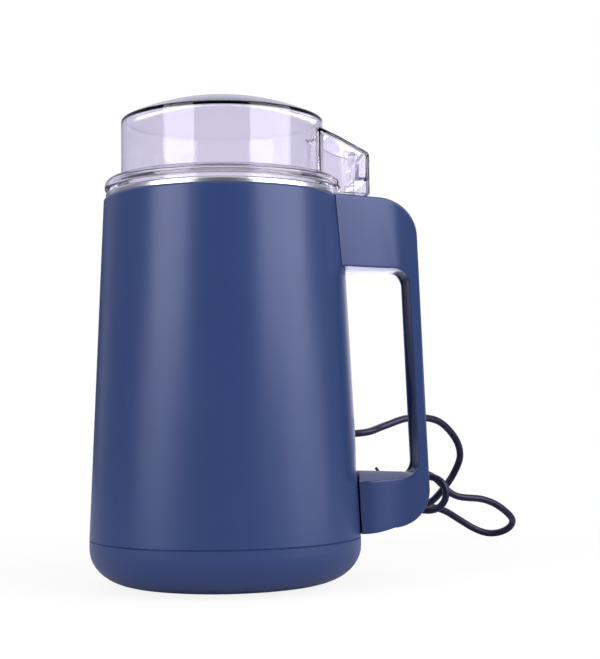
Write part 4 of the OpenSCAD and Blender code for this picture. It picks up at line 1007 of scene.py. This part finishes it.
LAVENDER_SHEEN = (0.72, 0.72, 1.0)
CORD_SHEEN = (0.66, 0.65, 1.0)
LID_SHEEN = (0.7, 0.7, 0.74)
finishes = {
    "navy_plastic": moulded_plastic(
        "navy_plastic_skin", (0.0168, 0.0345, 0.108), (0.0192, 0.0385, 0.120), 0.28, LAVENDER_SHEEN),
    "clear_plastic": clear_plastic(
        "clear_lid_plastic", (0.995, 0.975, 0.98), (0.44, 0.42, 0.56), 100, 0.015, LID_SHEEN),
    "bowl_steel": drawn_steel("bowl_steel_skin", (0.80, 0.79, 0.85), 0.2),
    "black_plastic": moulded_plastic(
        "black_plastic_skin", (0.012, 0.011, 0.018), (0.017, 0.016, 0.024), 0.4),
    "grey_plastic": moulded_plastic(
        "grey_plastic_skin", (0.16, 0.165, 0.175), (0.20, 0.205, 0.215), 0.5),
    "rubber": soft_rubber("rubber_skin", (0.018, 0.018, 0.020), (0.030, 0.030, 0.032), 0.66),
    "zinc_steel": cast_metal("zinc_steel_skin", (0.62, 0.63, 0.66), 0.3),
    "lamination_steel": stacked_sheets("lamination_skin", (0.42, 0.43, 0.46)),
    "copper_wire": wound_wire("copper_wire_skin", (0.66, 0.30, 0.13)),
    "brass": cast_metal("brass_skin", (0.72, 0.52, 0.22), 0.28),
    "aluminium": cast_metal("aluminium_skin", (0.62, 0.63, 0.65), 0.42),
    "carbon": soft_rubber("carbon_skin", (0.012, 0.012, 0.013), (0.03, 0.03, 0.03), 0.5),
    "red_plastic": moulded_plastic(
        "red_plastic_skin", (0.42, 0.016, 0.012), (0.48, 0.022, 0.016), 0.32),
    "cord_rubber": soft_rubber(
        "cord_skin", (0.006, 0.005, 0.016), (0.008, 0.007, 0.021), 0.22, CORD_SHEEN),
    "wire_cover": soft_rubber("wire_cover_skin", (0.20, 0.07, 0.02), (0.25, 0.09, 0.03), 0.4),
}


def put_on(piece, material):
    """Gives a piece one material."""
    piece.data.materials.clear()
    piece.data.materials.append(material)


for part in frame["record"]["subparts"]:
    put_on(nodes[part["node"]], finishes[part["material_slot"]])
new_pieces = {
    "cord_rubber": [lead],
    "black_plastic": [coil_tie_piece, curl_tie_piece],
    "navy_plastic": [handle_shell_piece, handle_cover_piece],
    "clear_plastic": [lid_piece],
    "zinc_steel": [spring_piece],
}
for slot, pieces in new_pieces.items():
    for piece in pieces:
        put_on(piece, finishes[slot])

# Studio: each softbox's angle from the camera in degrees, its distance, height and size, and its power
SOFTBOXES = {
    "left_softbox": (-50, 1.05, 0.58, (0.72, 0.74), 8.6),
    "left_low_softbox": (-61, 1.05, 0.11, (0.62, 0.22), 0.85),
    "right_softbox": (56.5, 1.05, 0.58, (1.03, 0.74), 12.2),
    "right_low_softbox": (72, 1.05, 0.11, (0.80, 0.22), 1.2),
}
SOFTBOX_AIM = (0, 0, 0.12)
TOP_SOFTBOX = (0.0, 0.1, 1.35)
TOP_AIM = (0, 0, 0.1)
TOP_SIZE = (2.0, 2.0)
TOP_POWER = 10.5
COOL_WHITE = (0.84, 0.83, 1.0)
FLOOR_HALF = 3
FAR_GLOW = 7.5


def hang_softbox(name, place, aim, size, power):
    """A flat lamp at a place, turned to a point."""
    data = bpy.data.lights.new(name, "AREA")
    data.shape = "RECTANGLE"
    data.size, data.size_y = size
    data.energy = power
    lamp = bpy.data.objects.new(name, data)
    lamp.location = place
    lamp.rotation_euler = (Vector(aim) - Vector(place)).to_track_quat("-Z", "Y").to_euler()
    scene.collection.objects.link(lamp)


def light_studio():
    """A tall softbox over a low one on each side of the camera, and one above."""
    facing = math.atan2(CAMERA_AT[1], CAMERA_AT[0])
    for name, (angle, distance, height, size, power) in SOFTBOXES.items():
        way = facing + math.radians(angle)
        place = (distance * math.cos(way), distance * math.sin(way), height)
        hang_softbox(name, place, SOFTBOX_AIM, size, power)
    hang_softbox("top_softbox", TOP_SOFTBOX, TOP_AIM, TOP_SIZE, TOP_POWER)


def surround_studio():
    """White to the camera and through the clear lid; in reflections, a dim room with pale parts."""
    world = bpy.data.worlds.new("studio")
    scene.world = world
    world.use_nodes = True
    g = Graph(world.node_tree)
    heading = g.node("ShaderNodeTexCoord", out="Generated")
    to_side = g.along("X", heading)
    to_back = g.along("Y", heading)
    to_top = g.along("Z", heading)
    back_right = g.between(to_side, -0.2, -0.08, 0, 1) * g.between(to_back, 0.62, 0.95, 0, 0.5)
    back_left = g.between(to_side, -0.62, -0.48, 1, 0) * g.between(to_back, 0.5, 0.75, 0, 0.5)
    sides = g.between(abs(to_side), 0.7, 0.92, 0, 0.16)
    low_right = g.between(to_side, 0.02, 0.12, 0, 1) * g.between(to_back, 0.8, 0.93, 0, 1.2)
    low_right = low_right * g.between(to_top, 0.15, 0.3, 1, 0)
    behind = 0.1 + sides + low_right + back_right.larger(back_left)
    above = g.between(to_back, -0.1, 0.6, 0, 1) * g.between(to_top, 0.05, 0.4, 0, 0.85)
    mirrored = behind.larger(above)
    overhead = g.between(to_top, 0.3, 0.7, 1.0, 0.13)
    glossy = g.ray("Glossy")
    strength = g.blend(glossy, 0.25, mirrored)
    strength = g.blend(g.ray("Transmission"), strength, overhead)
    strength = g.blend(g.ray("Camera"), strength, 1.0)
    cool = g.mix(glossy, (1, 1, 1), COOL_WHITE)
    white = g.node("ShaderNodeBackground", {}, {"Color": cool, "Strength": strength})
    g.node("ShaderNodeOutputWorld", {}, {"Surface": white})


def lay_floor():
    """Pale floor with the object's shadow, white further off, with a bright strip in reflections."""
    mesh = bpy.data.meshes.new("floor")
    corners = [(FLOOR_HALF * x, FLOOR_HALF * y, 0) for x, y in ((-1, -1), (1, -1), (1, 1), (-1, 1))]
    mesh.from_pydata(corners, [], [(0, 1, 2, 3)])
    floor = bpy.data.objects.new("floor", mesh)
    scene.collection.objects.link(floor)
    f = Finish("pale_floor")
    away = f.node("ShaderNodeVectorMath", {"operation": "LENGTH"}, {0: f.place}, out="Value")
    white_share = f.between(away, 0.1, 0.35, 0.87, 1.0)
    back = f.along("Y", f.place)
    far_back = f.between(back, 0.6, 1.0, 0, 1) * f.between(back, 1.5, 2.1, 1, 0)
    right = f.along("X", f.place)
    to_right = f.between(right, -0.05, 0.1, 0, 1) * f.between(right, 0.45, 0.7, 1, 0)
    glossy = f.ray("Glossy")
    pale = f.node("ShaderNodeBsdfDiffuse", {}, {"Color": (0.9, 0.9, 0.9, 1)})
    dim = f.node("ShaderNodeBsdfDiffuse", {}, {"Color": (0.46, 0.47, 0.62, 1)})
    paint = f.node("ShaderNodeMixShader", {}, {0: glossy, 1: pale, 2: dim})
    cool = f.mix(glossy, (1, 1, 1), COOL_WHITE)
    glow = f.node("ShaderNodeEmission", {}, {"Color": cool, "Strength": 1.0})
    mirrored = far_back * to_right * glossy
    seen = f.ray("Camera").larger(f.ray("Transmission")).larger(mirrored)
    lit = f.node("ShaderNodeMixShader", {}, {0: seen * white_share, 1: paint, 2: glow})
    far_glow = f.node("ShaderNodeEmission", {}, {"Color": cool, "Strength": FAR_GLOW})
    put_on(floor, f.done(f.node("ShaderNodeMixShader", {}, {0: mirrored, 1: lit, 2: far_glow})))


light_studio()
surround_studio()
lay_floor()

bpy.context.view_layer.update()
